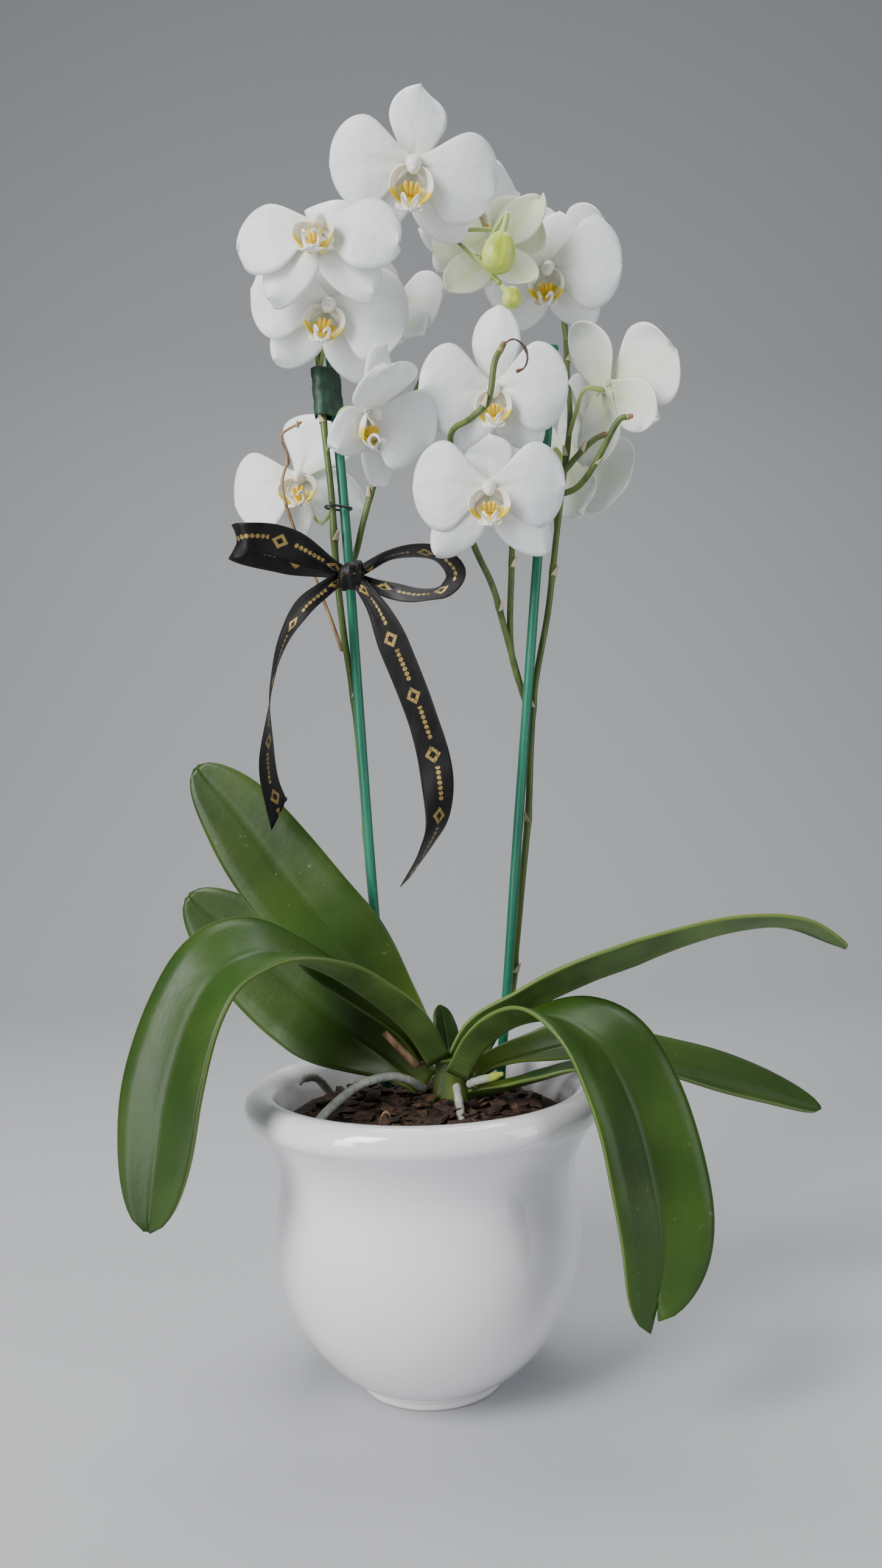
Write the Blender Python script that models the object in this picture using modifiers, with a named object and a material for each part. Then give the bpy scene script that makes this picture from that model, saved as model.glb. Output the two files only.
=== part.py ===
# Potted moth orchid: a glazed pot of bark, eight leaves, aerial roots, two staked flower spikes
# with fourteen flowers and two buds, and a ribbon bow tied to one stake.
# Metres, +Z up, origin at the middle of the pot's flat base, the front towards -Y.

import bpy
import bmesh
from math import cos, pi, radians, sin, sqrt
from mathutils import Matrix, Vector

GAP = 0.0003                 # clearance between neighbouring pieces

# Pot
POT_HEIGHT = 0.145
FOOT_RADIUS = 0.036
FOOT_HEIGHT = 0.004
BELLY_RADIUS = 0.0755
BELLY_HEIGHT = 0.074
NECK_RADIUS = 0.073
NECK_HEIGHT = 0.102
LIP_RADIUS = 0.089
LIP_ROLL = 0.008             # radius of the rolled lip's section
POT_WALL = 0.006
POT_FLOOR = 0.009
POT_STEPS = 30

# Bark
BARK_DEPTH = 0.0145          # from the pot's top down to the bark at the wall
BARK_CROWN = 0.004           # how much the bark rises towards the middle
DRAWN_LEVEL = 0.1305         # the bark's level that the plant's points below were drawn on
PLANT_LIFT = POT_HEIGHT - BARK_DEPTH - DRAWN_LEVEL

# Plant
CROWN_PLACE = Vector((0.0125, 0.008, 0.0))
CROWN_RADIUS = 0.0095
CROWN_BURIED = 0.024         # length of the crown below the bark
CROWN_ABOVE = 0.012          # and above it
LEAF_THICKNESS = 0.0022
ROOT_RADIUS = 0.0023
SPIKE_RADIUS = 0.0021
SPIKE_TIP_RADIUS = 0.0013
PEDICEL_RADIUS = 0.0011
STEM_POINTS = 22             # points along each spike's stem
STAKE_RADIUS = 0.0025
STAKE_DRAWN = 0.0025         # the radius that the stakes' places were drawn for
STAKE_END = 0.030            # height of the stakes' buried ends
DRY_RADIUS = 0.0009          # the withered branch at its start

# Flowers
TEPAL_THICKNESS = 0.0010
HUB_RADIUS = 0.0030
FLOWER_SCALE = 1.0           # enlarges every flower about its own middle

# Ribbon
RIBBON_WIDTH = 0.016
RIBBON_THICKNESS = 0.0008


# ---------------------------------------------------------------- scene helpers

def clear_scene():
    for obj in list(bpy.data.objects):
        bpy.data.objects.remove(obj, do_unlink=True)


def collection(name):
    made = bpy.data.collections.new(name)
    bpy.context.scene.collection.children.link(made)
    return made


def material(name, colour, roughness, metallic=0.0, coat=0.0):
    made = bpy.data.materials.new(name)
    made.use_nodes = True
    made.diffuse_color = (*colour, 1.0)
    shader = made.node_tree.nodes["Principled BSDF"]
    shader.inputs["Base Color"].default_value = (*colour, 1.0)
    shader.inputs["Roughness"].default_value = roughness
    shader.inputs["Metallic"].default_value = metallic
    shader.inputs["Coat Weight"].default_value = coat
    return made


def place(name, mesh, finish, group):
    obj = bpy.data.objects.new(name, mesh)
    group.objects.link(obj)
    if finish is not None:
        mesh.materials.clear()
        mesh.materials.append(finish)
    for face in mesh.polygons:
        face.use_smooth = True
    return obj


def helper(name, mesh):
    obj = place(name, mesh, None, helpers)
    obj.hide_render = True
    obj.display_type = "WIRE"
    return obj


def mesh_of(bm, name):
    mesh = bpy.data.meshes.new(name)
    bm.to_mesh(mesh)
    bm.free()
    return mesh


def evaluated_mesh(obj, name):
    graph = bpy.context.evaluated_depsgraph_get()
    mesh = bpy.data.meshes.new_from_object(obj.evaluated_get(graph))
    mesh.name = name
    bm = bmesh.new()
    bm.from_mesh(mesh)
    bmesh.ops.remove_doubles(bm, verts=bm.verts, dist=1e-6)
    bm.to_mesh(mesh)
    bm.free()
    return mesh


def boolean(obj, other, operation):
    step = obj.modifiers.new(operation.lower() + "_" + other.name[:40], "BOOLEAN")
    step.operation = operation
    step.solver = "EXACT"
    step.object = other
    return step


def thicken(obj, thickness, offset=0.0):
    step = obj.modifiers.new("thickness", "SOLIDIFY")
    step.thickness = thickness
    step.offset = offset
    step.use_even_offset = False
    return step


# ---------------------------------------------------------------- curves and sheets

def smooth_path(points, count):
    """count points, evenly spaced, along the smooth curve through the given ones."""
    knots = [Vector(p) for p in points]
    ends = [2 * knots[0] - knots[1]] + knots + [2 * knots[-1] - knots[-2]]
    fine = []
    steps = 24
    for i in range(1, len(ends) - 2):
        a, b, c, d = ends[i - 1:i + 3]
        for k in range(steps):
            t = k / steps
            fine.append(0.5 * (2 * b + (c - a) * t + (2 * a - 5 * b + 4 * c - d) * t * t
                               + (3 * b - a - 3 * c + d) * t ** 3))
    fine.append(knots[-1])
    run = [0.0]
    for p, q in zip(fine, fine[1:]):
        run.append(run[-1] + (q - p).length)
    even = []
    j = 0
    for i in range(count):
        target = run[-1] * i / (count - 1)
        while j < len(run) - 2 and run[j + 1] < target:
            j += 1
        span = run[j + 1] - run[j]
        even.append(fine[j].lerp(fine[j + 1], (target - run[j]) / span))
    return even


def path_point(points, share):
    """The point this share of the way along the path that a stem's tube follows."""
    path = smooth_path(points, STEM_POINTS)
    place = share * (STEM_POINTS - 1)
    i = min(int(place), STEM_POINTS - 2)
    return path[i].lerp(path[i + 1], place - i)


def tube_mesh(name, path, radius, end_radius=None, roundness=2, closed=False):
    curve = bpy.data.curves.new(name, "CURVE")
    curve.dimensions = "3D"
    curve.bevel_depth = radius
    curve.bevel_resolution = roundness
    curve.use_fill_caps = True
    spline = curve.splines.new("POLY")
    spline.points.add(len(path) - 1)
    end = radius if end_radius is None else end_radius
    for i, (knot, at) in enumerate(zip(spline.points, path)):
        knot.co = (*at, 1.0)
        knot.radius = 1.0 + (end / radius - 1.0) * i / (len(path) - 1)
    spline.use_cyclic_u = closed
    guide = bpy.data.objects.new(name, curve)
    helpers.objects.link(guide)
    mesh = evaluated_mesh(guide, name)
    bpy.data.objects.remove(guide, do_unlink=True)
    bpy.data.curves.remove(curve)
    return mesh


def smooth(low, high, value):
    t = min(max((value - low) / (high - low), 0.0), 1.0)
    return t * t * (3 - 2 * t)


def grid(rows, columns):
    bm = bmesh.new()
    bmesh.ops.create_grid(bm, x_segments=rows, y_segments=columns, size=1.0)
    return bm


def sheet_along(name, spine, across, half_width, fold, rows, columns):
    """A strip that follows spine. across gives the direction of its +v edge at start, middle and end."""
    path = smooth_path(spine, rows + 1)
    vectors = [Vector(v).normalized() for v in across]
    frames = []
    for i in range(rows + 1):
        t = i / rows
        if t < 0.5:
            side = vectors[0].lerp(vectors[1], t * 2)
        else:
            side = vectors[1].lerp(vectors[2], t * 2 - 1)
        ahead = (path[min(i + 1, rows)] - path[max(i - 1, 0)]).normalized()
        side = (side - ahead * side.dot(ahead)).normalized()
        frames.append((path[i], side, side.cross(ahead)))
    if frames[rows // 2][2].z < 0:
        frames = [(at, side, -up) for at, side, up in frames]
    bm = grid(rows, columns)
    for vert in bm.verts:
        t = (vert.co.x + 1) / 2
        v = vert.co.y
        at, side, up = frames[round(t * rows)]
        width = half_width(t)
        vert.co = at + side * (v * width) + up * fold(t, v) * width
    return mesh_of(bm, name)


# ---------------------------------------------------------------- pot and bark

def wall_profile(inset):
    """(radius, height) up the pot's side, moved inwards by inset, from the foot to the flare's end."""
    reach = (BELLY_HEIGHT - FOOT_HEIGHT) / sqrt(1 - (FOOT_RADIUS / BELLY_RADIUS) ** 2)
    points = []
    start = 0.0 if inset == 0 else (POT_FLOOR - FOOT_HEIGHT) / (BELLY_HEIGHT - FOOT_HEIGHT)
    for i in range(6):
        share = start + (1 - start) * i / 5
        height = FOOT_HEIGHT + (BELLY_HEIGHT - FOOT_HEIGHT) * share ** 1.3
        drop = (BELLY_HEIGHT - height) / reach
        points.append((BELLY_RADIUS * sqrt(1 - drop * drop) - inset, height))
    for i in range(1, 3):
        share = i / 2
        ease = (1 - cos(pi * share)) / 2
        points.append((BELLY_RADIUS + (NECK_RADIUS - BELLY_RADIUS) * ease - inset,
                       BELLY_HEIGHT + (NECK_HEIGHT - BELLY_HEIGHT) * share))
    return points


def lip_arc(first, last, count):
    middle_radius = LIP_RADIUS - LIP_ROLL
    middle_height = POT_HEIGHT - LIP_ROLL
    turns = [radians(first + (last - first) * i / (count - 1)) for i in range(count)]
    return [(middle_radius + LIP_ROLL * cos(a), middle_height + LIP_ROLL * sin(a)) for a in turns]


def flare(start, end, power):
    """Points between start and end of a flare that leaves start upright."""
    points = []
    for i in range(1, 4):
        share = i / 4
        points.append((start[0] + (end[0] - start[0]) * share ** power,
                       start[1] + (end[1] - start[1]) * share))
    return points


def inner_profile():
    """The pot's inside, from the middle of its floor up to the lip."""
    side = wall_profile(POT_WALL)
    lip = lip_arc(165, 90, 3)
    return [(0.0, POT_FLOOR)] + side + flare(side[-1], lip[0], 1.6) + lip


def turned(name, profile, steps, finish, group):
    """profile runs from the top of the axis, down the outer side, to the foot of the axis."""
    bm = bmesh.new()
    verts = [bm.verts.new((radius, 0.0, height)) for radius, height in profile]
    for a, b in zip(verts, verts[1:]):
        bm.edges.new((a, b))
    obj = place(name, mesh_of(bm, name), finish, group)
    spin = obj.modifiers.new("turn", "SCREW")
    spin.axis = "Z"
    spin.steps = steps
    spin.render_steps = steps
    spin.use_merge_vertices = True
    spin.merge_threshold = 0.00005
    spin.use_smooth_shade = True
    return obj


def make_pot():
    outer = wall_profile(0.0)
    lip = lip_arc(-55, 90, 6)
    rise = [(0.0, 0.0), (FOOT_RADIUS - 0.0015, 0.0), (FOOT_RADIUS, 0.0015)]
    rise += outer + flare(outer[-1], lip[0], 1.9) + lip
    inside = inner_profile()
    profile = inside[:-1] + list(reversed(rise))
    return turned("pot", profile, POT_STEPS, glaze, parts)


def bark_top(radius):
    inner = inner_profile()[-6][0]
    return POT_HEIGHT - BARK_DEPTH + BARK_CROWN * (1 - (radius / inner) ** 2)


def make_bark():
    """The bark fills the pot's inside, a gap away from it."""
    level = POT_HEIGHT - BARK_DEPTH
    inside = inner_profile()
    side = []
    for (r0, z0), (r1, z1) in zip(inside, inside[1:]):
        side.append((r0, z0))
        if z0 < level <= z1:
            side.append((r0 + (r1 - r0) * (level - z0) / (z1 - z0), level))
            break
    outer = [(max(r - 2 * GAP, 0.0), z + (2 * GAP if i < 2 else 0.0)) for i, (r, z) in enumerate(side)]
    rim = outer[-1][0]
    top = [(rim * share, bark_top(rim * share)) for share in (0.0, 0.35, 0.7)]
    return turned("bark_mix", top + list(reversed(outer)), POT_STEPS, bark, parts)


# ---------------------------------------------------------------- crown, roots, leaves

def make_crown():
    """The short stem that carries the leaves, oval because the leaves stand in two ranks."""
    level = bark_top(0.0)
    profile = [(0.0, level + CROWN_ABOVE), (0.45, level + CROWN_ABOVE - 0.001), (0.8, level + 0.006),
               (1.0, level), (0.9, level - 0.012), (0.5, level - CROWN_BURIED + 0.002),
               (0.0, level - CROWN_BURIED)]
    obj = turned("crown", [(r * CROWN_RADIUS, z) for r, z in profile], 16, leaf_base, parts)
    obj.location = CROWN_PLACE
    return obj


ROOTS = {
    "aerial_root_arching": [(-0.0005, -0.0005, 0.141), (-0.009, -0.009, 0.148), (-0.021, -0.014, 0.150),
                            (-0.034, -0.020, 0.146), (-0.046, -0.027, 0.138), (-0.054, -0.032, 0.128),
                            (-0.057, -0.034, 0.119)],
    "aerial_root_front": [(0.0155, -0.0065, 0.1425), (0.016, -0.012, 0.1405), (0.0168, -0.021, 0.134),
                          (0.0175, -0.027, 0.124), (0.018, -0.029, 0.114)],
    "aerial_root_tip": [(0.0220, -0.0035, 0.1430), (0.026, -0.0075, 0.1455), (0.032, -0.0110, 0.1475),
                        (0.038, -0.0135, 0.1500)],
    "aerial_root_left": [(-0.042, 0.040, 0.118), (-0.050, 0.035, 0.131), (-0.057, 0.027, 0.1405),
                         (-0.062, 0.017, 0.1435), (-0.063, 0.0105, 0.1425)],
}


def make_roots():
    for name, points in ROOTS.items():
        free = name == "aerial_root_tip"
        end = ROOT_RADIUS * (0.45 if free else 0.85)
        path = smooth_path(points, 9)
        place(name, tube_mesh(name, path, ROOT_RADIUS, end), root_skin, parts)


# Each leaf: its midrib, the direction of one edge at base, middle and tip, half its width,
# how deeply it folds, and how blunt its tip is.
LEAVES = {
    "leaf_left_arching": dict(
        spine=[(0.003, 0.0005, 0.152), (-0.008, -0.006, 0.171), (-0.026, -0.014, 0.189),
               (-0.047, -0.024, 0.2045), (-0.071, -0.038, 0.2145), (-0.089, -0.050, 0.209),
               (-0.101, -0.060, 0.191), (-0.110, -0.068, 0.162), (-0.115, -0.073, 0.132),
               (-0.119, -0.076, 0.1015)],
        across=[(0.5, -0.8, 0.35), (0.45, -0.75, -0.35), (0.9, -0.35, -0.1)],
        half_width=0.0235, fold=(0.55, 0.22), blunt=0.36),
    "leaf_left_upright": dict(
        spine=[(0.0005, 0.0105, 0.1515), (-0.010, 0.0125, 0.172), (-0.028, 0.0135, 0.196),
               (-0.051, 0.016, 0.223), (-0.076, 0.021, 0.254), (-0.096, 0.026, 0.281),
               (-0.1165, 0.030, 0.304)],
        across=[(-0.6, -0.5, -0.55), (-0.72, -0.12, -0.6), (-0.75, -0.05, -0.6)],
        half_width=0.0235, fold=(0.40, 0.10), blunt=0.42),
    "leaf_left_back": dict(
        spine=[(-0.001, 0.0085, 0.1385), (-0.014, 0.0140, 0.1480), (-0.038, 0.0225, 0.165),
               (-0.068, 0.0300, 0.188), (-0.096, 0.036, 0.212), (-0.1245, 0.040, 0.236)],
        across=[(-0.4, -0.62, -0.6), (-0.55, -0.12, -0.75), (-0.6, 0.0, -0.7)],
        half_width=0.0265, fold=(0.35, 0.12), blunt=0.55),
    "leaf_young": dict(
        spine=[(0.0120, 0.0095, 0.1485), (0.0112, 0.014, 0.158), (0.0098, 0.0175, 0.168),
               (0.0078, 0.0205, 0.178)],
        across=[(-0.8, -0.45, 0.1), (-0.8, -0.45, 0.0), (-0.8, -0.45, 0.0)],
        half_width=0.0065, fold=(0.5, 0.3), blunt=0.5),
    "leaf_right_arching": dict(
        spine=[(0.0185, 0.004, 0.1525), (0.029, 0.001, 0.168), (0.053, -0.004, 0.1805),
               (0.084, -0.006, 0.194), (0.121, -0.007, 0.2075), (0.154, -0.008, 0.2165),
               (0.183, -0.009, 0.2175), (0.2075, -0.010, 0.2065)],
        across=[(-0.1, -0.9, 0.45), (-0.1, -0.9, 0.42), (0.05, -0.95, 0.1)],
        half_width=0.0215, fold=(0.45, 0.12), blunt=0.4),
    "leaf_right_drooping": dict(
        spine=[(0.0195, -0.0015, 0.1455), (0.030, -0.011, 0.1635), (0.045, -0.0235, 0.1765),
               (0.063, -0.038, 0.1805), (0.080, -0.053, 0.171), (0.092, -0.064, 0.148),
               (0.099, -0.071, 0.120), (0.102, -0.076, 0.090), (0.096, -0.078, 0.0535)],
        across=[(-0.6, -0.75, 0.1), (-0.85, -0.5, -0.05), (-0.97, -0.2, 0.0)],
        half_width=0.0245, fold=(0.45, 0.26), blunt=0.34),
    "leaf_right_back": dict(
        spine=[(0.0245, 0.0095, 0.1415), (0.036, 0.0115, 0.148), (0.054, 0.016, 0.152),
               (0.080, 0.023, 0.1545), (0.108, 0.031, 0.148), (0.140, 0.038, 0.138),
               (0.174, 0.041, 0.128), (0.2085, 0.040, 0.115)],
        across=[(0.1, -0.85, -0.4), (0.15, -0.9, -0.35), (0.1, -0.85, -0.45)],
        half_width=0.0200, fold=(0.4, 0.18), blunt=0.4),
    "leaf_right_low": dict(
        spine=[(0.0235, 0.0030, 0.1355), (0.036, -0.002, 0.1395), (0.056, -0.009, 0.1465),
               (0.076, -0.015, 0.1525), (0.096, -0.019, 0.151), (0.114, -0.022, 0.142),
               (0.126, -0.024, 0.129)],
        across=[(-0.2, -0.9, 0.1), (-0.25, -0.9, 0.05), (-0.2, -0.95, 0.0)],
        half_width=0.0150, fold=(0.25, 0.1), blunt=0.45),
}


def make_leaves():
    for name, leaf in LEAVES.items():
        blunt = leaf["blunt"]
        half = leaf["half_width"]
        base_fold, tip_fold = leaf["fold"]

        def half_width(t):
            grown = 0.30 + 0.70 * smooth(0.0, 0.42, t)
            end = max(0.0, (t - (1 - blunt)) / blunt)
            return half * grown * max(sqrt(max(1 - end * end, 0.0)), 0.10)

        def fold(t, v):
            return (base_fold + (tip_fold - base_fold) * t) * abs(v) ** 1.5

        rows = 4 if name == "leaf_young" else 12
        mesh = sheet_along(name, leaf["spine"], leaf["across"], half_width, fold, rows, 2)
        obj = place(name, mesh, leaf_green, parts)
        thicken(obj, LEAF_THICKNESS)


# ---------------------------------------------------------------- stakes and spikes

STAKES = {
    "stake_left": [(-0.018, 0.040, STAKE_END), (-0.021, 0.036, 0.131), (-0.0235, 0.031, 0.200),
                   (-0.0265, 0.0250, 0.262), (-0.030, 0.0175, 0.345), (-0.0335, 0.0125, 0.425),
                   (-0.039, 0.010, 0.511)],
    "stake_right": [(0.032, 0.036, STAKE_END), (0.0385, 0.032, 0.131), (0.044, 0.0285, 0.190),
                    (0.0495, 0.0240, 0.252), (0.057, 0.0190, 0.331), (0.0635, 0.0145, 0.400),
                    (0.075, 0.010, 0.513)],
}

SPIKE_LEFT = [(0.0085, 0.021, 0.141), (-0.004, 0.031, 0.152), (-0.0185, 0.0395, 0.176),
              (-0.0240, 0.0380, 0.205), (-0.0270, 0.0320, 0.245), (-0.0290, 0.0270, 0.290),
              (-0.0320, 0.0225, 0.335), (-0.0365, 0.0170, 0.372), (-0.0390, 0.0110, 0.408),
              (-0.0400, 0.0075, 0.440), (-0.0428, 0.0065, 0.474), (-0.0450, 0.0085, 0.512),
              (-0.0440, 0.0130, 0.545), (-0.0370, 0.0160, 0.572), (-0.0200, 0.0170, 0.592),
              (0.0040, 0.0150, 0.590), (0.0250, 0.0010, 0.566), (0.0375, -0.0200, 0.543),
              (0.0455, -0.0320, 0.5275)]

SPIKE_RIGHT = [(0.0205, 0.0185, 0.141), (0.0320, 0.0310, 0.152), (0.0450, 0.0370, 0.176),
               (0.0490, 0.0355, 0.205), (0.0530, 0.0325, 0.240), (0.0570, 0.0295, 0.275),
               (0.0590, 0.0265, 0.310), (0.0620, 0.0245, 0.342), (0.0695, 0.0215, 0.380),
               (0.0745, 0.0200, 0.417), (0.0795, 0.0210, 0.450), (0.0840, 0.0250, 0.480),
               (0.0850, 0.0390, 0.508), (0.0862, 0.0520, 0.535), (0.0870, 0.0610, 0.560)]

BRANCHES = {
    "left_cut": [(-0.0385, 0.0130, 0.394), (-0.0360, 0.0205, 0.399), (-0.0300, 0.0225, 0.411),
                 (-0.0245, 0.0175, 0.429), (-0.0185, 0.0160, 0.447), (-0.0080, 0.0150, 0.470),
                 (0.0070, 0.0160, 0.500)],
    "right_front": [(0.0605, 0.0258, 0.325), (0.0555, 0.0255, 0.338), (0.0460, 0.0100, 0.370),
                    (0.0400, -0.0020, 0.389), (0.0305, -0.0110, 0.409), (0.0240, -0.0180, 0.433),
                    (0.0205, -0.0300, 0.456), (0.0300, -0.0440, 0.4595), (0.0380, -0.0500, 0.4660),
                    (0.0410, -0.0520, 0.4820), (0.0450, -0.0510, 0.4900)],
    "right_middle": [(0.0535, 0.0232, 0.344), (0.0500, 0.0190, 0.357), (0.0490, 0.0120, 0.373),
                     (0.0500, 0.0040, 0.399), (0.0510, 0.0040, 0.425), (0.0500, 0.0050, 0.452)],
    "right_cut_long": [(0.0760, 0.0215, 0.440), (0.0850, 0.0105, 0.441), (0.0925, 0.0000, 0.449),
                       (0.1030, -0.0100, 0.467), (0.1085, -0.0120, 0.469)],
    "right_cut_short": [(0.0775, 0.0220, 0.450), (0.0865, 0.0165, 0.459), (0.0945, 0.0140, 0.466),
                        (0.0995, 0.0125, 0.468)],
}

DRY_BRANCH = [(-0.0375, 0.0195, 0.362), (-0.0495, 0.0185, 0.397), (-0.0610, 0.0160, 0.427),
              (-0.0655, 0.0120, 0.446), (-0.0620, 0.0100, 0.460), (-0.0650, 0.0095, 0.471),
              (-0.0545, 0.0090, 0.4775)]
OLD_STUB = [(-0.0040, -0.0030, 0.1530), (-0.0110, -0.0055, 0.1610), (-0.0190, -0.0075, 0.1700)]

# Each flower: where its middle is, the way it faces (yaw to the right, pitch up), its roll
# clockwise, its span, how far its petals cup forward, where its stalk leaves the spike, and
# each tepal that's turned, leant back or longer than usual.
FLOWERS = [
    dict(at=(0.0065, -0.028, 0.5892), turn=(0, -27, 14), span=0.082, cup=4, stalk=("left", 0.785),
         bend={"dorsal": (0, 25, 0.92)}),
    dict(at=(0.0360, 0.030, 0.5980), turn=(38, -22, -30), span=0.064, cup=10, stalk=("left", 0.830),
         bend={"dorsal": (0, 40, 0.8)}),
    dict(at=(-0.0375, -0.038, 0.5522), turn=(-8, 4, 0), span=0.078, cup=4, stalk=("left", 0.720),
         via=[(-0.0385, -0.006, 0.5740), (-0.0380, -0.0225, 0.5640), (-0.0375, -0.0265, 0.5560)],
         bend={"dorsal": (0, 35, 1.0)}),
    dict(at=(-0.0365, -0.014, 0.5262), turn=(0, -10, 13), span=0.076, cup=6, stalk=("left", 0.640),
         bend={"dorsal": (0, 20, 0.9)}),
    dict(at=(-0.0065, 0.034, 0.5440), turn=(140, -10, 6), span=0.070, cup=8, stalk=("left", 0.668),
         bend={"dorsal": (0, 40, 0.8)}),
    dict(at=(-0.0195, -0.024, 0.4675), turn=(42, -16, 8), span=0.070, cup=30, stalk=("left", 0.575)),
    dict(at=(-0.0584, 0.034, 0.4555), turn=(-8, 6, -6), span=0.076, cup=2, stalk=("left", 0.515),
         via=[(-0.0450, 0.0240, 0.4310), (-0.0500, 0.0415, 0.4340), (-0.0565, 0.0455, 0.4460)],
         bend={"rightPetal": (56, 0, 1.0), "leftPetal": (11, 0, 1.0), "dorsal": (22, 50, 0.9),
               "leftSepal": (10, 15, 0.95), "rightSepal": (22, 10, 0.95)}),
    dict(at=(0.0435, -0.016, 0.4829), turn=(-5, -16, 2), span=0.078, cup=20, stalk=("middle", 0.97),
         bend={"dorsal": (-3, 0, 1.1)}),
    dict(at=(0.0378, -0.034, 0.4305), turn=(-2, -13, 0), span=0.070, cup=4, stalk=("middle", 0.62),
         bend={"dorsal": (0, 32, 0.95), "leftSepal": (0, 0, 1.06), "rightSepal": (0, 0, 1.06)}),
    dict(at=(0.0772, 0.040, 0.5677), turn=(-16, -20, 6), span=0.076, cup=6, stalk=("right", 0.93),
         bend={"dorsal": (-4, 22, 0.95)}),
    dict(at=(0.0455, 0.015, 0.5680), turn=(-175, -4, -18), span=0.064, cup=2, stalk=("left", 0.900),
         bend={"dorsal": (28, 0, 1.12), "leftSepal": (-19, 0, 0.95), "rightSepal": (-16, 0, 1.2),
               "leftPetal": (-60, 0, 0.9)}),
    dict(at=(0.0876, 0.074, 0.5960), turn=(160, 10, 30), span=0.058, cup=8, stalk=("right", 0.99)),
    dict(at=(0.1015, 0.006, 0.4890), turn=(124, 12, 0), span=0.078, cup=20, stalk=("right", 0.78)),
    dict(at=(0.0832, 0.046, 0.4639), turn=(152, -12, -20), span=0.078, cup=6, stalk=("right", 0.665)),
]

BUDS = {
    "bud_large": dict(at=(0.0455, -0.036, 0.5400), size=(0.0078, 0.0072, 0.0098), lean=12,
                      stalk=("left", 0.955)),
    "bud_small": dict(at=(0.0508, -0.0350, 0.5190), size=(0.0046, 0.0044, 0.0052), lean=0,
                      stalk=("left", 0.985)),
}


def facing(turn):
    """The turn that takes a flower drawn in its own XY plane, facing +Z, to its place."""
    yaw, pitch, roll = (radians(angle) for angle in turn)
    return (Matrix.Rotation(yaw, 4, "Z") @ Matrix.Rotation(pi / 2 - pitch, 4, "X")
            @ Matrix.Rotation(-roll, 4, "Z"))


def flower_matrix(flower):
    size = flower["span"] / 2 * FLOWER_SCALE
    return Matrix.Translation(flower["at"]) @ facing(flower["turn"]) @ Matrix.Scale(size, 4)


def make_stakes():
    for name, points in STAKES.items():
        place(name, tube_mesh(name, smooth_path(points, 12), STAKE_RADIUS), stake_green, parts)


def stalk_mesh(name, start, end, ahead, via=None):
    """A flower's stalk: it leaves the spike at start and meets end travelling along ahead."""
    reach = (end - start).length
    back = end - ahead * min(0.014, reach * 0.45)
    lift = Vector((0.0, 0.0, reach * 0.06))
    between = via or [start.lerp(back, 0.5) + lift, back]
    return tube_mesh(name, smooth_path([start, *between, end], 6), PEDICEL_RADIUS * 0.9,
                     PEDICEL_RADIUS * 1.25, 1)


def spike_paths():
    return {"left": SPIKE_LEFT, "right": SPIKE_RIGHT, "middle": BRANCHES["right_middle"]}


def stalk_ends():
    """For each flower and bud: the spike it grows on, and its stalk's start, end and direction."""
    paths = spike_paths()
    ends = []
    for i, flower in enumerate(FLOWERS):
        branch, share = flower["stalk"]
        ahead = (facing(flower["turn"]) @ Vector((0.0, 0.0, 1.0))).normalized()
        end = Vector(flower["at"]) - ahead * (HUB_RADIUS + 2 * GAP)
        via = [Vector(point) for point in flower.get("via", [])]
        start = path_point(paths[branch], share)
        ends.append((branch, f"stalk_{i + 1:02d}", start, end, ahead, via))
    for name, bud in BUDS.items():
        branch, share = bud["stalk"]
        start = path_point(paths[branch], share)
        ahead = (Matrix.Rotation(radians(bud["lean"]), 4, "Y") @ Vector((0, 0, 1)))
        if name == "bud_large":
            ahead = -ahead
        else:
            ahead = (Vector(bud["at"]) - start).normalized()
        end = Vector(bud["at"]) - ahead * (bud["size"][2] + GAP * 1.5)
        ends.append((branch, "stalk_" + name, start, end, ahead, None))
    return ends


def make_spike(name, main, branches, stalks):
    """A flower spike: its stem, its side branches and its flower stalks, grown as one piece."""
    stem = place(name, tube_mesh(name, smooth_path(main, STEM_POINTS), SPIKE_RADIUS, SPIKE_TIP_RADIUS, 1),
                 spike_green, parts)
    for branch in branches:
        path = smooth_path(BRANCHES[branch], STEM_POINTS if branch == "right_middle" else 8)
        limb = tube_mesh(branch, path, SPIKE_RADIUS * 0.8, SPIKE_RADIUS * 0.7, 1)
        boolean(stem, helper(name + "_" + branch, limb), "UNION")
    for stalk, *course in stalks:
        boolean(stem, helper(stalk, stalk_mesh(stalk, *course)), "UNION")
    return stem


def make_spikes():
    stalks = {"left": [], "right": [], "middle": []}
    for branch, *stalk in stalk_ends():
        stalks[branch].append(stalk)
    make_spike("spike_left", SPIKE_LEFT, ["left_cut"], stalks["left"])
    rest = ["right_front", "right_middle", "right_cut_long", "right_cut_short"]
    make_spike("spike_right", SPIKE_RIGHT, rest, stalks["right"] + stalks["middle"])
    dry = tube_mesh("dry_branch", smooth_path(DRY_BRANCH, 14), DRY_RADIUS, 0.0006, 1)
    place("dry_branch", dry, dry_brown, parts)
    stub = tube_mesh("old_spike_stub", smooth_path(OLD_STUB, 5), 0.0019, 0.0017, 1)
    place("old_spike_stub", stub, dry_brown, parts)


# ---------------------------------------------------------------- flowers and buds

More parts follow.
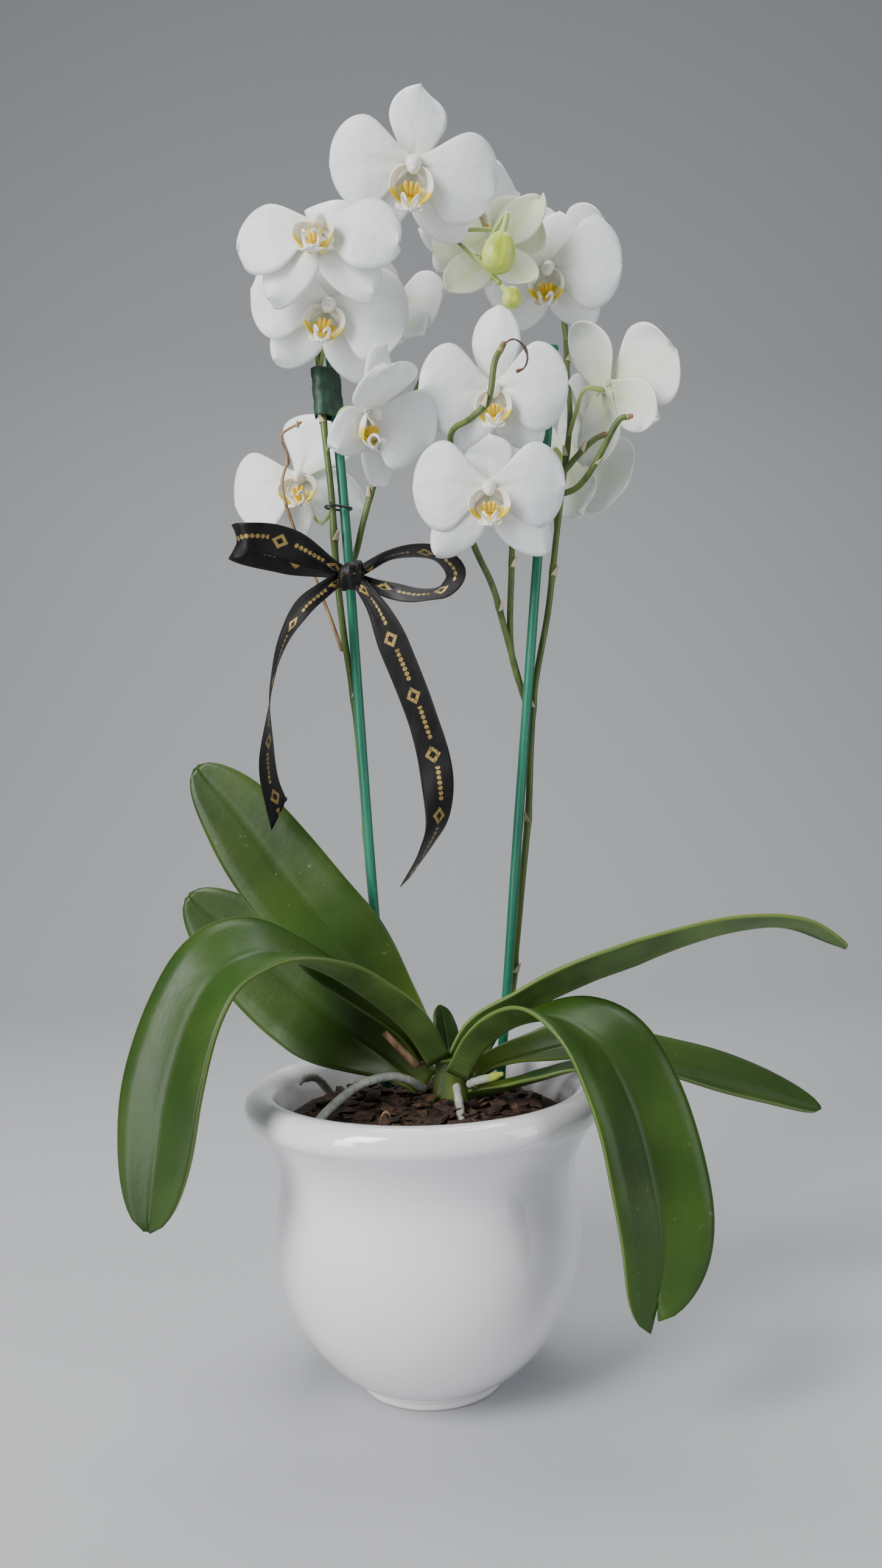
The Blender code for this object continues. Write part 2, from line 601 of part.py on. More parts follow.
# Tepals in units of half the flower's span: direction in degrees, length, half width and how
# far forward of the sepals they sit.
TEPALS = {
    "rightPetal": (0, 1.0, 0.52, 0.04),
    "leftPetal": (180, 1.0, 0.52, 0.04),
    "dorsal": (90, 0.94, 0.31, -0.02),
    "leftSepal": (90 + 141, 0.98, 0.29, -0.02),
    "rightSepal": (90 - 141, 0.98, 0.29, -0.02),
}


def tepal_mesh(name, shape, bend, cup):
    """One petal or sepal: a disc drawn out from the flower's middle and arched a little.

    bend turns it about the flower's middle, leans it back and makes it longer or shorter.
    """
    direction, length, half_width, forward = shape
    direction, back, length = direction + bend[0], Matrix.Rotation(radians(bend[1]), 4, "Y"), length * bend[2]
    bm = grid(4, 2)
    turn = Matrix.Rotation(radians(direction), 4, "Z")
    rise = sin(radians(cup))
    for vert in bm.verts:
        x, y = vert.co.x, vert.co.y
        t = (x * sqrt(1 - y * y / 2) + 1) / 2
        v = y * sqrt(1 - x * x / 2)
        width = half_width * (0.35 + 0.65 * smooth(0.0, 0.45, t)) * (1 - 0.12 * smooth(0.7, 1.0, t))
        height = forward + rise * t + 0.05 * sin(pi * t) - 0.10 * t * t - 0.06 * v * v
        vert.co = turn @ back @ Vector((t * length, v * width, height))
    return mesh_of(bm, name)


def hub_mesh(name, radius, squash):
    bm = bmesh.new()
    bmesh.ops.create_uvsphere(bm, u_segments=8, v_segments=4, radius=radius)
    bmesh.ops.scale(bm, vec=(1, 1, squash), verts=bm.verts)
    return mesh_of(bm, name)


def make_flower(number, flower):
    name = f"flower_{number:02d}"
    half = flower["span"] / 2 * FLOWER_SCALE
    matrix = flower_matrix(flower)
    tepals = place(name + "_tepals", hub_mesh(name + "_tepals", HUB_RADIUS / half, 1.0), petal_white, parts)
    tepals.matrix_world = matrix
    for each, shape in TEPALS.items():
        cup = flower["cup"] if "Petal" in each else flower["cup"] * 0.4
        bend = flower.get("bend", {}).get(each, (0, 0, 1.0))
        part = helper(f"{name}_{each}", tepal_mesh(f"{name}_{each}", shape, bend, cup))
        part.matrix_world = matrix
        thicken(part, TEPAL_THICKNESS / half)
        boolean(tepals, part, "UNION")
    make_lip(name, half, matrix)


def lobe_mesh(name, shape):
    bm = grid(2, 1)
    for vert in bm.verts:
        vert.co = Vector(shape((vert.co.x + 1) / 2, vert.co.y))
    return mesh_of(bm, name)


def make_lip(name, half, matrix):
    """The lip with its two upright side lobes and its middle lobe, and the column above it."""
    start = (HUB_RADIUS + 2 * GAP) / half
    base = bpy.data.meshes.new(name + "_lip")
    bm = bmesh.new()
    bmesh.ops.create_cone(bm, cap_ends=True, segments=6, radius1=0.07, radius2=0.055, depth=0.14)
    bmesh.ops.translate(bm, vec=(0.0, 0.0, start + 0.07), verts=bm.verts)
    bm.to_mesh(base)
    bm.free()
    lip = place(name + "_lip", base, lip_white, parts)
    lip.matrix_world = matrix

    column = bmesh.new()
    bmesh.ops.create_cone(column, cap_ends=True, segments=6, radius1=0.06, radius2=0.075, depth=0.24)
    bmesh.ops.rotate(column, verts=column.verts, matrix=Matrix.Rotation(radians(-35), 3, "X"))
    bmesh.ops.translate(column, vec=(0.0, 0.05, start + 0.17), verts=column.verts)
    shapes = {
        "side_left": lambda t, v: (-0.04 - 0.20 * sin(t * 1.7), -0.16 + 0.30 * t + 0.10 * v,
                                   start + 0.10 + 0.24 * t + 0.07 * v * (1 - t)),
        "side_right": lambda t, v: (0.04 + 0.20 * sin(t * 1.7), -0.16 + 0.30 * t + 0.10 * v,
                                    start + 0.10 + 0.24 * t + 0.07 * v * (1 - t)),
        "middle": lambda t, v: (v * (0.10 - 0.05 * t), -0.02 - 0.36 * t,
                                start + 0.08 + 0.20 * sin(t * 2.2)),
    }
    pieces = {"column": mesh_of(column, name + "_column")}
    for lobe, shape in shapes.items():
        pieces[lobe] = lobe_mesh(f"{name}_{lobe}", shape)
    for piece, mesh in pieces.items():
        other = helper(f"{name}_{piece}", mesh)
        other.matrix_world = matrix
        if piece != "column":
            thicken(other, TEPAL_THICKNESS / half)
        boolean(lip, other, "UNION")


def make_buds():
    for name, bud in BUDS.items():
        bm = bmesh.new()
        bmesh.ops.create_uvsphere(bm, u_segments=12, v_segments=8, radius=1.0)
        for vert in bm.verts:
            vert.co.x *= 1 - 0.18 * vert.co.z
            vert.co.y *= 1 - 0.18 * vert.co.z
        bmesh.ops.scale(bm, vec=bud["size"], verts=bm.verts)
        obj = place(name, mesh_of(bm, name), bud_green, parts)
        obj.matrix_world = Matrix.Translation(bud["at"]) @ Matrix.Rotation(radians(bud["lean"]), 4, "Y")


# ---------------------------------------------------------------- ties and ribbon

def at_height(points, height):
    path = smooth_path(points, 401)
    return min(path, key=lambda p: abs(p.z - height))


def oval_round(pair, height, clearance, count):
    """A closed oval around two upright rods, each given as (path, radius), at one height."""
    a, b = (at_height(path, height) for path, _ in pair)
    radius = max(r for _, r in pair) + clearance
    middle = (a + b) / 2
    along = Vector((b.x - a.x, b.y - a.y, 0.0))
    half = along.length / 2
    along.normalize()
    side = Vector((-along.y, along.x, 0.0))
    points = []
    for i in range(count):
        turn = 2 * pi * i / count
        reach = cos(turn) * radius + (half if cos(turn) > 0 else -half)
        points.append(Vector((middle.x, middle.y, height)) + along * reach + side * sin(turn) * radius)
    return points


WIRE_RADIUS = 0.0006
TIE_SLACK = 0.0045           # how far the right tie stands off its stake
TIES = {"wire_tie_left": ("left", 0.4335), "wire_tie_right": ("right", 0.4950)}
TAPE_SPAN = [0.4790, 0.5040]
TAPE_THICKNESS = 0.0006


def make_ties():
    tie_end = [(x + TIE_SLACK, y, z) for x, y, z in STAKES["stake_right"]]
    pairs = {
        "left": [(STAKES["stake_left"], STAKE_RADIUS), (SPIKE_LEFT, SPIKE_RADIUS)],
        "right": [(STAKES["stake_right"], STAKE_RADIUS), (tie_end, STAKE_RADIUS)],
    }
    for name, (side, height) in TIES.items():
        ring = oval_round(pairs[side], height, WIRE_RADIUS + 3 * GAP, 16)
        place(name, tube_mesh(name, ring, WIRE_RADIUS, None, 1, True), tie_black, parts)
    bottom, top = TAPE_SPAN
    rings = [oval_round(pairs["left"], height, 4 * GAP, 16) for height in (bottom, (bottom + top) / 2, top)]
    bm = bmesh.new()
    rows = [[bm.verts.new(point) for point in ring] for ring in rings]
    for low, high in zip(rows, rows[1:]):
        for i in range(len(low)):
            j = (i + 1) % len(low)
            bm.faces.new((low[i], low[j], high[j], high[i]))
    tape = place("tape_wrap", mesh_of(bm, "tape_wrap"), tape_green, parts)
    thicken(tape, TAPE_THICKNESS, 1.0)


RIBBONS = {
    "ribbon_loop_left": dict(
        spine=[(-0.0375, -0.0005, 0.4015), (-0.050, -0.006, 0.4075), (-0.068, -0.016, 0.4120),
               (-0.083, -0.022, 0.4090), (-0.0885, -0.016, 0.4045), (-0.083, -0.006, 0.4010),
               (-0.066, -0.001, 0.3990), (-0.050, 0.002, 0.3990), (-0.0390, 0.0040, 0.3990)],
        across=[(0.1, -0.2, 1.0), (0.25, -0.45, 1.0), (0.1, 0.1, 1.0)]),
    "ribbon_loop_right": dict(
        spine=[(-0.0215, -0.0040, 0.3985), (-0.012, -0.008, 0.4035), (0.002, -0.011, 0.4055),
               (0.014, -0.013, 0.4025), (0.0210, -0.013, 0.3940), (0.0150, -0.011, 0.3865),
               (0.002, -0.008, 0.3855), (-0.011, -0.005, 0.3890), (-0.0205, -0.0030, 0.3935)],
        across=[(0.0, -1.0, 0.3), (0.15, -1.0, 0.1), (0.0, -1.0, -0.5)]),
    "ribbon_tail_left": dict(
        spine=[(-0.0385, -0.0045, 0.3925), (-0.044, -0.009, 0.3875), (-0.0535, -0.012, 0.3785),
               (-0.0635, -0.011, 0.3625), (-0.0700, -0.007, 0.3420), (-0.0735, -0.001, 0.3180),
               (-0.0745, 0.007, 0.2980), (-0.0705, 0.013, 0.2790)],
        across=[(0.5, -0.5, 0.5), (0.25, -0.95, 0.2), (-0.5, -0.8, 0.2)]),
    "ribbon_tail_right": dict(
        spine=[(-0.0235, -0.0085, 0.3885), (-0.0160, -0.013, 0.3755), (-0.0070, -0.017, 0.3520),
               (0.0035, -0.019, 0.3225), (0.0095, -0.018, 0.2980), (0.0100, -0.015, 0.2750),
               (0.0040, -0.012, 0.2600), (-0.0040, -0.010, 0.2470)],
        across=[(0.8, -0.3, 0.5), (0.90, -0.45, 0.3), (0.2, 0.95, 0.1)]),
}
KNOT = dict(at=(-0.0300, -0.0045, 0.3960), size=(0.0066, 0.0058, 0.0088))


def make_ribbon():
    half = RIBBON_WIDTH / 2
    for name, ribbon in RIBBONS.items():
        pinched = 0.45

        def half_width(t):
            grown = smooth(0.0, 0.25, t)
            if "loop" in name:
                grown = min(grown, smooth(0.0, 0.25, 1 - t))
            return half * (pinched + (1 - pinched) * grown)

        mesh = sheet_along(name, ribbon["spine"], ribbon["across"], half_width, lambda t, v: 0.0, 16, 1)
        strip = place(name, mesh, satin_black, parts)
        thicken(strip, RIBBON_THICKNESS)
    bm = bmesh.new()
    bmesh.ops.create_uvsphere(bm, u_segments=12, v_segments=7, radius=1.0)
    bmesh.ops.scale(bm, vec=KNOT["size"], verts=bm.verts)
    knot = place("ribbon_knot", mesh_of(bm, "ribbon_knot"), satin_black, parts)
    knot.location = KNOT["at"]


# ---------------------------------------------------------------- standing in the pot

def lifted(points):
    return [(x, y, z + PLANT_LIFT) for x, y, z in points]


def lift_plant():
    """Puts every point of the plant on the bark's level; the stakes' buried ends stay where they are."""
    for group in (ROOTS, BRANCHES):
        for name, points in group.items():
            group[name] = lifted(points)
    for points in (SPIKE_LEFT, SPIKE_RIGHT, DRY_BRANCH, OLD_STUB):
        points[:] = lifted(points)
    forward = (STAKE_RADIUS - STAKE_DRAWN) * 1.2          # a thicker stake stands clear of its spike
    for name, points in STAKES.items():
        standing = [(x, y - forward, z) for x, y, z in points]
        STAKES[name] = [(*standing[0][:2], STAKE_END)] + lifted(standing[1:])
    beside = at_height(SPIKE_LEFT, DRY_BRANCH[0][2])
    away = (Vector(DRY_BRANCH[0]) - beside).normalized() * (SPIKE_RADIUS + DRY_RADIUS)
    DRY_BRANCH[0] = tuple(beside + away)
    for item in [*LEAVES.values(), *RIBBONS.values()]:
        item["spine"] = lifted(item["spine"])
    for item in [*FLOWERS, *BUDS.values(), KNOT]:
        item["at"] = lifted([item["at"]])[0]
        item["via"] = lifted(item.get("via", []))
    for name, (side, height) in TIES.items():
        TIES[name] = (side, height + PLANT_LIFT)
    TAPE_SPAN[:] = [height + PLANT_LIFT for height in TAPE_SPAN]


# ---------------------------------------------------------------- clearances

def clear_bark(bark_body):
    """Holes in the bark for what is planted in it, a gap wider than each piece."""
    buried = {name: (smooth_path(points, 9), ROOT_RADIUS) for name, points in ROOTS.items()
              if name != "aerial_root_tip"}
    buried.update({name: (smooth_path(points, 14), STAKE_RADIUS) for name, points in STAKES.items()})
    for name, (path, radius) in buried.items():
        ahead = (path[-1] - path[-2]).normalized()
        back = (path[0] - path[1]).normalized()
        reach = [path[0] + back * GAP] + path[1:-1] + [path[-1] + ahead * GAP]
        hole = helper("hole_" + name, tube_mesh("hole_" + name, reach, radius + GAP * 1.4))
        boolean(bark_body, hole, "DIFFERENCE")


def crown_cutter(crown):
    cutter = helper("crown_room", crown.data.copy())
    cutter.location = crown.location
    spin = cutter.modifiers.new("turn", "SCREW")
    source = crown.modifiers["turn"]
    spin.axis = "Z"
    spin.steps = source.steps
    spin.render_steps = source.steps
    spin.use_merge_vertices = True
    spin.merge_threshold = source.merge_threshold
    swell = cutter.modifiers.new("room", "DISPLACE")
    swell.mid_level = 0.0
    swell.strength = GAP * 1.5
    return cutter


clear_scene()
parts = collection("potted_orchid")
helpers = collection("helpers")

glaze = material("white_glaze", (0.86, 0.85, 0.87), 0.12, coat=0.6)
bark = material("bark", (0.075, 0.038, 0.022), 0.9)
leaf_green = material("leaf_green", (0.045, 0.13, 0.025), 0.38)
leaf_base = material("leaf_base", (0.20, 0.30, 0.04), 0.45)
root_skin = material("root_silver", (0.42, 0.42, 0.38), 0.8)
stake_green = material("stake_green", (0.01, 0.22, 0.13), 0.4)
spike_green = material("spike_green", (0.14, 0.20, 0.05), 0.5)
dry_brown = material("dry_brown", (0.26, 0.16, 0.08), 0.85)
petal_white = material("petal_white", (0.88, 0.89, 0.90), 0.5)
lip_white = material("lip_white", (0.90, 0.85, 0.62), 0.45)
bud_green = material("bud_green", (0.45, 0.60, 0.10), 0.4)
satin_black = material("satin_black", (0.012, 0.011, 0.011), 0.3)
tie_black = material("tie_black", (0.02, 0.02, 0.02), 0.5)
tape_green = material("tape_green", (0.02, 0.06, 0.035), 0.6)

lift_plant()
make_pot()
bark_body = make_bark()
crown = make_crown()
clear_bark(bark_body)
room = crown_cutter(crown)
boolean(bark_body, room, "DIFFERENCE")
make_roots()
make_leaves()
make_stakes()
make_spikes()
for number, flower in enumerate(FLOWERS, 1):
    make_flower(number, flower)
make_buds()
make_ties()
make_ribbon()
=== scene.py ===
from math import cos, exp, pi, radians, sin, sqrt
from random import Random

import bmesh
import bpy
from mathutils import Matrix, Vector, noise


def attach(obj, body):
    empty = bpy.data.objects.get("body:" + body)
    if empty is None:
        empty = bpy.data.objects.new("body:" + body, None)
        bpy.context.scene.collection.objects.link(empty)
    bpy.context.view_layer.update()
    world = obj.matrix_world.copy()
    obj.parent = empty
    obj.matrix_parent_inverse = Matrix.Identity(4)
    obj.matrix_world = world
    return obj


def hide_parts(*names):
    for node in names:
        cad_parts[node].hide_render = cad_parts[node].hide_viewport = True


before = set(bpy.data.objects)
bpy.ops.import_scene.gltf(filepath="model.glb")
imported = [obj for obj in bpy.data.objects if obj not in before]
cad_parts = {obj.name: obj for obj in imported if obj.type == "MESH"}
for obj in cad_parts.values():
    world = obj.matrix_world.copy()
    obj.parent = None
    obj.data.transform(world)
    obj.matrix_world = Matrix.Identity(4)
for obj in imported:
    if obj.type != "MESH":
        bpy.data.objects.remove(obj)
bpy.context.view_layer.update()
orchid = bpy.data.collections.new("orchid")
bpy.context.scene.collection.children.link(orchid)
print("orchid: frame loaded")


# what every piece is made with

def ease(low, high, value):
    t = min(max((value - low) / (high - low), 0.0), 1.0)
    return t * t * (3 - 2 * t)


def smoothPath(points, count):
    knots = [Vector(point) for point in points]
    ends = [2 * knots[0] - knots[1]] + knots + [2 * knots[-1] - knots[-2]]
    fine = []
    for i in range(1, len(ends) - 2):
        a, b, c, d = ends[i - 1:i + 3]
        for k in range(24):
            t = k / 24
            fine.append(0.5 * (2 * b + (c - a) * t + (2 * a - 5 * b + 4 * c - d) * t * t
                               + (3 * b - a - 3 * c + d) * t ** 3))
    fine.append(knots[-1])
    run = [0.0]
    for p, q in zip(fine, fine[1:]):
        run.append(run[-1] + (q - p).length)
    even = []
    j = 0
    for i in range(count):
        target = run[-1] * i / (count - 1)
        while j < len(run) - 2 and run[j + 1] < target:
            j += 1
        even.append(fine[j].lerp(fine[j + 1], (target - run[j]) / (run[j + 1] - run[j])))
    return even


def pathPoint(points, share):
    path = smoothPath(points, 101)
    return path[round(share * 100)]


def pathLength(points):
    path = smoothPath(points, 101)
    return sum((q - p).length for p, q in zip(path, path[1:]))


class Shape:                                # a mesh in the making; its points keep where they grew
    def __init__(self):
        self.bm = bmesh.new()
        self.growth = self.bm.verts.layers.float_vector.new("growth")
        self.look = 0                       # material slot of the faces that come next

    def point(self, at, grown):
        vert = self.bm.verts.new(at)
        vert[self.growth] = grown
        return vert

    def face(self, *verts):
        face = self.bm.faces.new(verts)
        face.material_index = self.look
        face.smooth = True

    def sheet(self, rows, columns, place, tint=0.0):
        grid = []
        for i in range(rows + 1):
            line = []
            for j in range(columns + 1):
                s, v = i / rows, 2 * j / columns - 1
                shade = tint(s, v) if callable(tint) else tint
                line.append(self.point(place(s, v), (s, v, shade)))
            grid.append(line)
        for i in range(rows):
            for j in range(columns):
                self.face(grid[i][j], grid[i + 1][j], grid[i + 1][j + 1], grid[i][j + 1])

    def tube(self, path, radiusAt, sides=12, tint=0.0, flat=1.0, closed=False):
        rings = []
        side = None
        last = len(path) - 1
        for i, at in enumerate(path):
            if closed:
                ahead = (path[(i + 1) % len(path)] - path[i - 1]).normalized()
            else:
                ahead = (path[min(i + 1, last)] - path[max(i - 1, 0)]).normalized()
            side = side or ahead.orthogonal()
            side = (side - ahead * side.dot(ahead)).normalized()
            up = ahead.cross(side)
            s = i / last
            shade = tint(s) if callable(tint) else tint
            radius = radiusAt(s)
            ring = []
            for k in range(sides):
                turn = 2 * pi * k / sides
                out = side * cos(turn) + up * sin(turn) * flat
                ring.append(self.point(at + out * radius, (s, k / sides, shade)))
            rings.append(ring)
        pairs = list(zip(rings, rings[1:]))
        if closed:
            pairs.append((rings[-1], rings[0]))
        for low, high in pairs:
            for k in range(sides):
                m = (k + 1) % sides
                self.face(low[k], low[m], high[m], high[k])
        if not closed:
            self.cap(rings[0][::-1], path[0] - path[1], radiusAt(0.0))
            self.cap(rings[-1], path[-1] - path[-2], radiusAt(1.0))

    def cap(self, ring, outwards, radius):
        middle = sum((vert.co for vert in ring), Vector()) / len(ring)
        rise = outwards.normalized() * radius * 0.4
        inner = [self.point(middle + (vert.co - middle) * 0.6 + rise, vert[self.growth]) for vert in ring]
        for k in range(len(ring)):
            m = (k + 1) % len(ring)
            self.face(ring[k], ring[m], inner[m], inner[k])
        self.face(*inner)

    def ball(self, matrix, tint=0.0, rings=10, sides=16):
        made = bmesh.ops.create_uvsphere(self.bm, u_segments=sides, v_segments=rings, radius=1.0)
        for vert in made["verts"]:
            vert[self.growth] = ((vert.co.z + 1) / 2, vert.co.x, tint)
            vert.co = matrix @ vert.co
        for face in {face for vert in made["verts"] for face in vert.link_faces}:
            face.material_index = self.look
            face.smooth = True

    def turned(self, profile, steps, at=(0, 0)):          # profile runs down the outside
        rings = []
        for i, (radius, height) in enumerate(profile):
            s = i / (len(profile) - 1)
            if radius < 1e-6:
                rings.append([self.point((at[0], at[1], height), (s, 0, 0))])
                continue
            ring = []
            for k in range(steps):
                turn = 2 * pi * k / steps
                place = (at[0] + radius * cos(turn), at[1] + radius * sin(turn), height)
                ring.append(self.point(place, (s, k / steps, 0)))
            rings.append(ring)
        for high, low in zip(rings, rings[1:]):
            for k in range(steps):
                m = (k + 1) % steps
                if len(high) == 1:
                    self.face(high[0], low[k], low[m])
                elif len(low) == 1:
                    self.face(low[0], high[m], high[k])
                else:
                    self.face(high[k], low[k], low[m], high[m])


def addPiece(name, shape, looks, stands=(), thickness=0.0, backLook=0):
    mesh = bpy.data.meshes.new(name)
    shape.bm.to_mesh(mesh)
    shape.bm.free()
    for look in looks:
        mesh.materials.append(look)
    piece = bpy.data.objects.new(name, mesh)
    orchid.objects.link(piece)
    if thickness:
        solid = piece.modifiers.new("thickness", "SOLIDIFY")
        solid.thickness = thickness
        solid.offset = 0.0
        solid.use_even_offset = False
        solid.material_offset = backLook
    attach(piece, "root")
    if stands:
        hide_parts(*stands)
    return piece


class Field:                                # one output socket of a material, with maths on it
    def __init__(self, tree, socket=None):
        self.tree = tree
        self.socket = socket

    def node(self, kind, sockets=None, out=0, **settings):
        made = self.tree.nodes.new("ShaderNode" + kind)
        for key, value in settings.items():
            setattr(made, key, value)
        for key, value in (sockets or {}).items():
            if isinstance(value, Field):
                self.tree.links.new(value.socket, made.inputs[key])
            else:
                made.inputs[key].default_value = value
        return Field(self.tree, made.outputs[out])

    def maths(self, operation, *values):
        return self.node("Math", dict(enumerate(values)), operation=operation)

    def __add__(self, other):
        return self.maths("ADD", self, other)

    def __sub__(self, other):
        return self.maths("SUBTRACT", self, other)

    def __mul__(self, other):
        return self.maths("MULTIPLY", self, other)

    def __truediv__(self, other):
        return self.maths("DIVIDE", self, other)

    def __rsub__(self, other):
        return self.maths("SUBTRACT", other, self)

    def __abs__(self):
        return self.maths("ABSOLUTE", self)

    __radd__ = __add__
    __rmul__ = __mul__

    def sin(self):
        return self.maths("SINE", self)

    def between(self, low, high):           # 0 below low, 1 above high
        sockets = {"Value": self, "From Min": low, "From Max": high}
        return self.node("MapRange", sockets, interpolation_type="SMOOTHSTEP")

    def mix(self, first, second):           # colours, with this field as the mask
        return self.node("Mix", {0: self, 6: first, 7: second}, out=2, data_type="RGBA")

    def noise(self, scale, detail=3.0, where=None, rough=0.5):
        sockets = {"Scale": scale, "Detail": detail, "Roughness": rough, "Vector": where or self.place()}
        return self.node("TexNoise", sockets)

    def place(self, stretch=(1, 1, 1)):
        spot = self.node("TexCoord", out="Object")
        return self.node("VectorMath", {0: spot, 1: stretch}, operation="MULTIPLY")

    def grown(self):                        # along the piece 0 to 1, across it -1 to 1, and its tint
        spot = self.node("Attribute", out="Vector", attribute_name="growth")
        return [self.node("SeparateXYZ", {0: spot}, out=axis) for axis in ("X", "Y", "Z")]

    def bump(self, height, distance, under=None):
        sockets = {"Height": height, "Distance": distance, "Strength": 1.0}
        if under:
            sockets["Normal"] = under
        return self.node("Bump", sockets)


def newLook(name, colour, roughness, **fixed):
    look = bpy.data.materials.new(name)
    look.use_nodes = True
    look.diffuse_color = (*colour, 1.0)
    shader = look.node_tree.nodes["Principled BSDF"]
    shader.inputs["Base Color"].default_value = (*colour, 1.0)
    shader.inputs["Roughness"].default_value = roughness
    for key, value in fixed.items():
        shader.inputs[key.replace("_", " ")].default_value = value
    return look, Field(look.node_tree)


def feed(look, **inputs):
    shader = look.node_tree.nodes["Principled BSDF"]
    for key, field in inputs.items():
        look.node_tree.links.new(field.socket, shader.inputs[key.replace("_", " ")])
    return look


def rgb(*colour):
    return (*colour, 1.0)


# camera, floor and light

camera = {"place": (0.0117, -0.57, 0.284), "pitch": 0.76, "roll": -0.026, "lens": 26.26}
floor = {"front": -3.5, "back": 1.9, "half": 4.0, "rise": 3.4, "bend": 0.9, "grey": (0.50, 0.51, 0.525)}
lamps = {
    "key": {"at": (-0.85, -0.95, 1.15), "size": (0.50, 0.85), "power": 27, "tint": (1.0, 0.99, 0.97)},
    "panel": {"at": (-1.10, -1.00, 0.40), "size": (0.34, 0.80), "power": 9, "tint": (1.0, 1.0, 1.0)},
    "fill": {"at": (1.25, -0.60, 0.60), "size": (0.50, 1.20), "power": 6.5, "tint": (0.94, 0.97, 1.0)},
    "top": {"at": (0.10, 0.45, 1.70), "size": (1.10, 0.90), "power": 17, "tint": (1.0, 1.0, 1.0)},
}


def makeCamera():
    view = bpy.data.cameras.new("view")
    view.lens = camera["lens"]
    view.sensor_width = 36
    view.clip_start = 0.01
    eye = bpy.data.objects.new("view", view)
    bpy.context.scene.collection.objects.link(eye)
    eye.matrix_world = (Matrix.Translation(camera["place"])
                        @ Matrix.Rotation(radians(90 + camera["pitch"]), 4, "X")
                        @ Matrix.Rotation(camera["roll"], 4, "Z"))
    bpy.context.scene.camera = eye


def makeFloor():
    shape = Shape()
    bend, back, half = floor["bend"], floor["back"], floor["half"]

    def place(s, v):
        run = s * 4
        if run < 1:
            return Vector((v * half, floor["front"] + (back - bend - floor["front"]) * run, 0))
        if run < 3:
            turn = (run - 1) / 2 * pi / 2
            return Vector((v * half, back - bend + bend * sin(turn), bend * (1 - cos(turn))))
        return Vector((v * half, back, bend + (floor["rise"] - bend) * (run - 3)))

    shape.sheet(32, 2, place)
    mesh = bpy.data.meshes.new("floor")
    shape.bm.to_mesh(mesh)
    shape.bm.free()
    look = newLook("paleFloor", floor["grey"], 0.65)[0]
    mesh.materials.append(look)
    ground = bpy.data.objects.new("floor", mesh)
    bpy.context.scene.collection.objects.link(ground)


def makeLamps():
    for name, lamp in lamps.items():
        light = bpy.data.lights.new(name, "AREA")
        light.shape = "RECTANGLE"
        light.size, light.size_y = lamp["size"]
        light.energy = lamp["power"]
        light.color = lamp["tint"]
        bulb = bpy.data.objects.new(name, light)
        bpy.context.scene.collection.objects.link(bulb)
        bulb.location = lamp["at"]
        aim = Vector((0.02, 0.0, 0.33)) - bulb.location
        bulb.rotation_euler = aim.to_track_quat("-Z", "Y").to_euler()
    world = bpy.data.worlds.new("studio")
    world.use_nodes = True
    world.node_tree.nodes["Background"].inputs["Color"].default_value = rgb(0.62, 0.65, 0.70)
    world.node_tree.nodes["Background"].inputs["Strength"].default_value = 0.30
    bpy.context.scene.world = world


makeCamera()
makeFloor()
makeLamps()
print("orchid: camera, floor and light")


# pot

pot = {"height": 0.145, "foot": 0.036, "footHeight": 0.004, "belly": 0.0755, "bellyHeight": 0.074,
       "neck": 0.073, "neckHeight": 0.102, "lip": 0.089, "roll": 0.008, "wall": 0.006, "floor": 0.009,
       "steps": 160, "glaze": (0.84, 0.83, 0.865)}


def wallProfile(inset):
    foot, belly = pot["footHeight"], pot["bellyHeight"]
    reach = (belly - foot) / sqrt(1 - (pot["foot"] / pot["belly"]) ** 2)
    start = (pot["floor"] - foot) / (belly - foot) if inset else 0.0
    points = []
    for i in range(25):
        share = start + (1 - start) * i / 24
        height = foot + (belly - foot) * share ** 1.3
        drop = (belly - height) / reach
        points.append((pot["belly"] * sqrt(1 - drop * drop) - inset, height))
    for i in range(1, 9):
        share = i / 8
        slim = (pot["belly"] - pot["neck"]) * (1 - cos(pi * share)) / 2
        points.append((pot["belly"] - slim - inset, belly + (pot["neckHeight"] - belly) * share))
    return points


def lipArc(first, last, count):
    turns = [radians(first + (last - first) * i / (count - 1)) for i in range(count)]
    middle = pot["lip"] - pot["roll"], pot["height"] - pot["roll"]
    return [(middle[0] + pot["roll"] * cos(a), middle[1] + pot["roll"] * sin(a)) for a in turns]


def flare(start, end, power):
    shares = [i / 12 for i in range(1, 12)]
    return [(start[0] + (end[0] - start[0]) * share ** power, start[1] + (end[1] - start[1]) * share)
            for share in shares]


def innerProfile():
    side = wallProfile(pot["wall"])
    lip = lipArc(165, 90, 8)
    return [(0.0, pot["floor"])] + side + flare(side[-1], lip[0], 1.6) + lip


def makePotLook():
    look, field = newLook("whiteGlaze", pot["glaze"], 0.10, Coat_Weight=0.7, Coat_Roughness=0.03,
                          Specular_IOR_Level=0.60)
    cloud = field.noise(9.0, 3.0)
    tone = cloud.between(0.35, 0.7).mix(rgb(*pot["glaze"]), rgb(0.86, 0.835, 0.86))
    specks = field.noise(900.0, 1.0).between(0.73, 0.78)
    orange = field.noise(140.0, 2.0)
    wave = field.noise(14.0, 2.0)
    return feed(look, Base_Color=(specks * 0.25).mix(tone, rgb(0.5, 0.46, 0.42)),
                Roughness=0.07 + cloud * 0.08,
                Normal=field.bump(orange, 0.00005, field.bump(wave, 0.0022)))


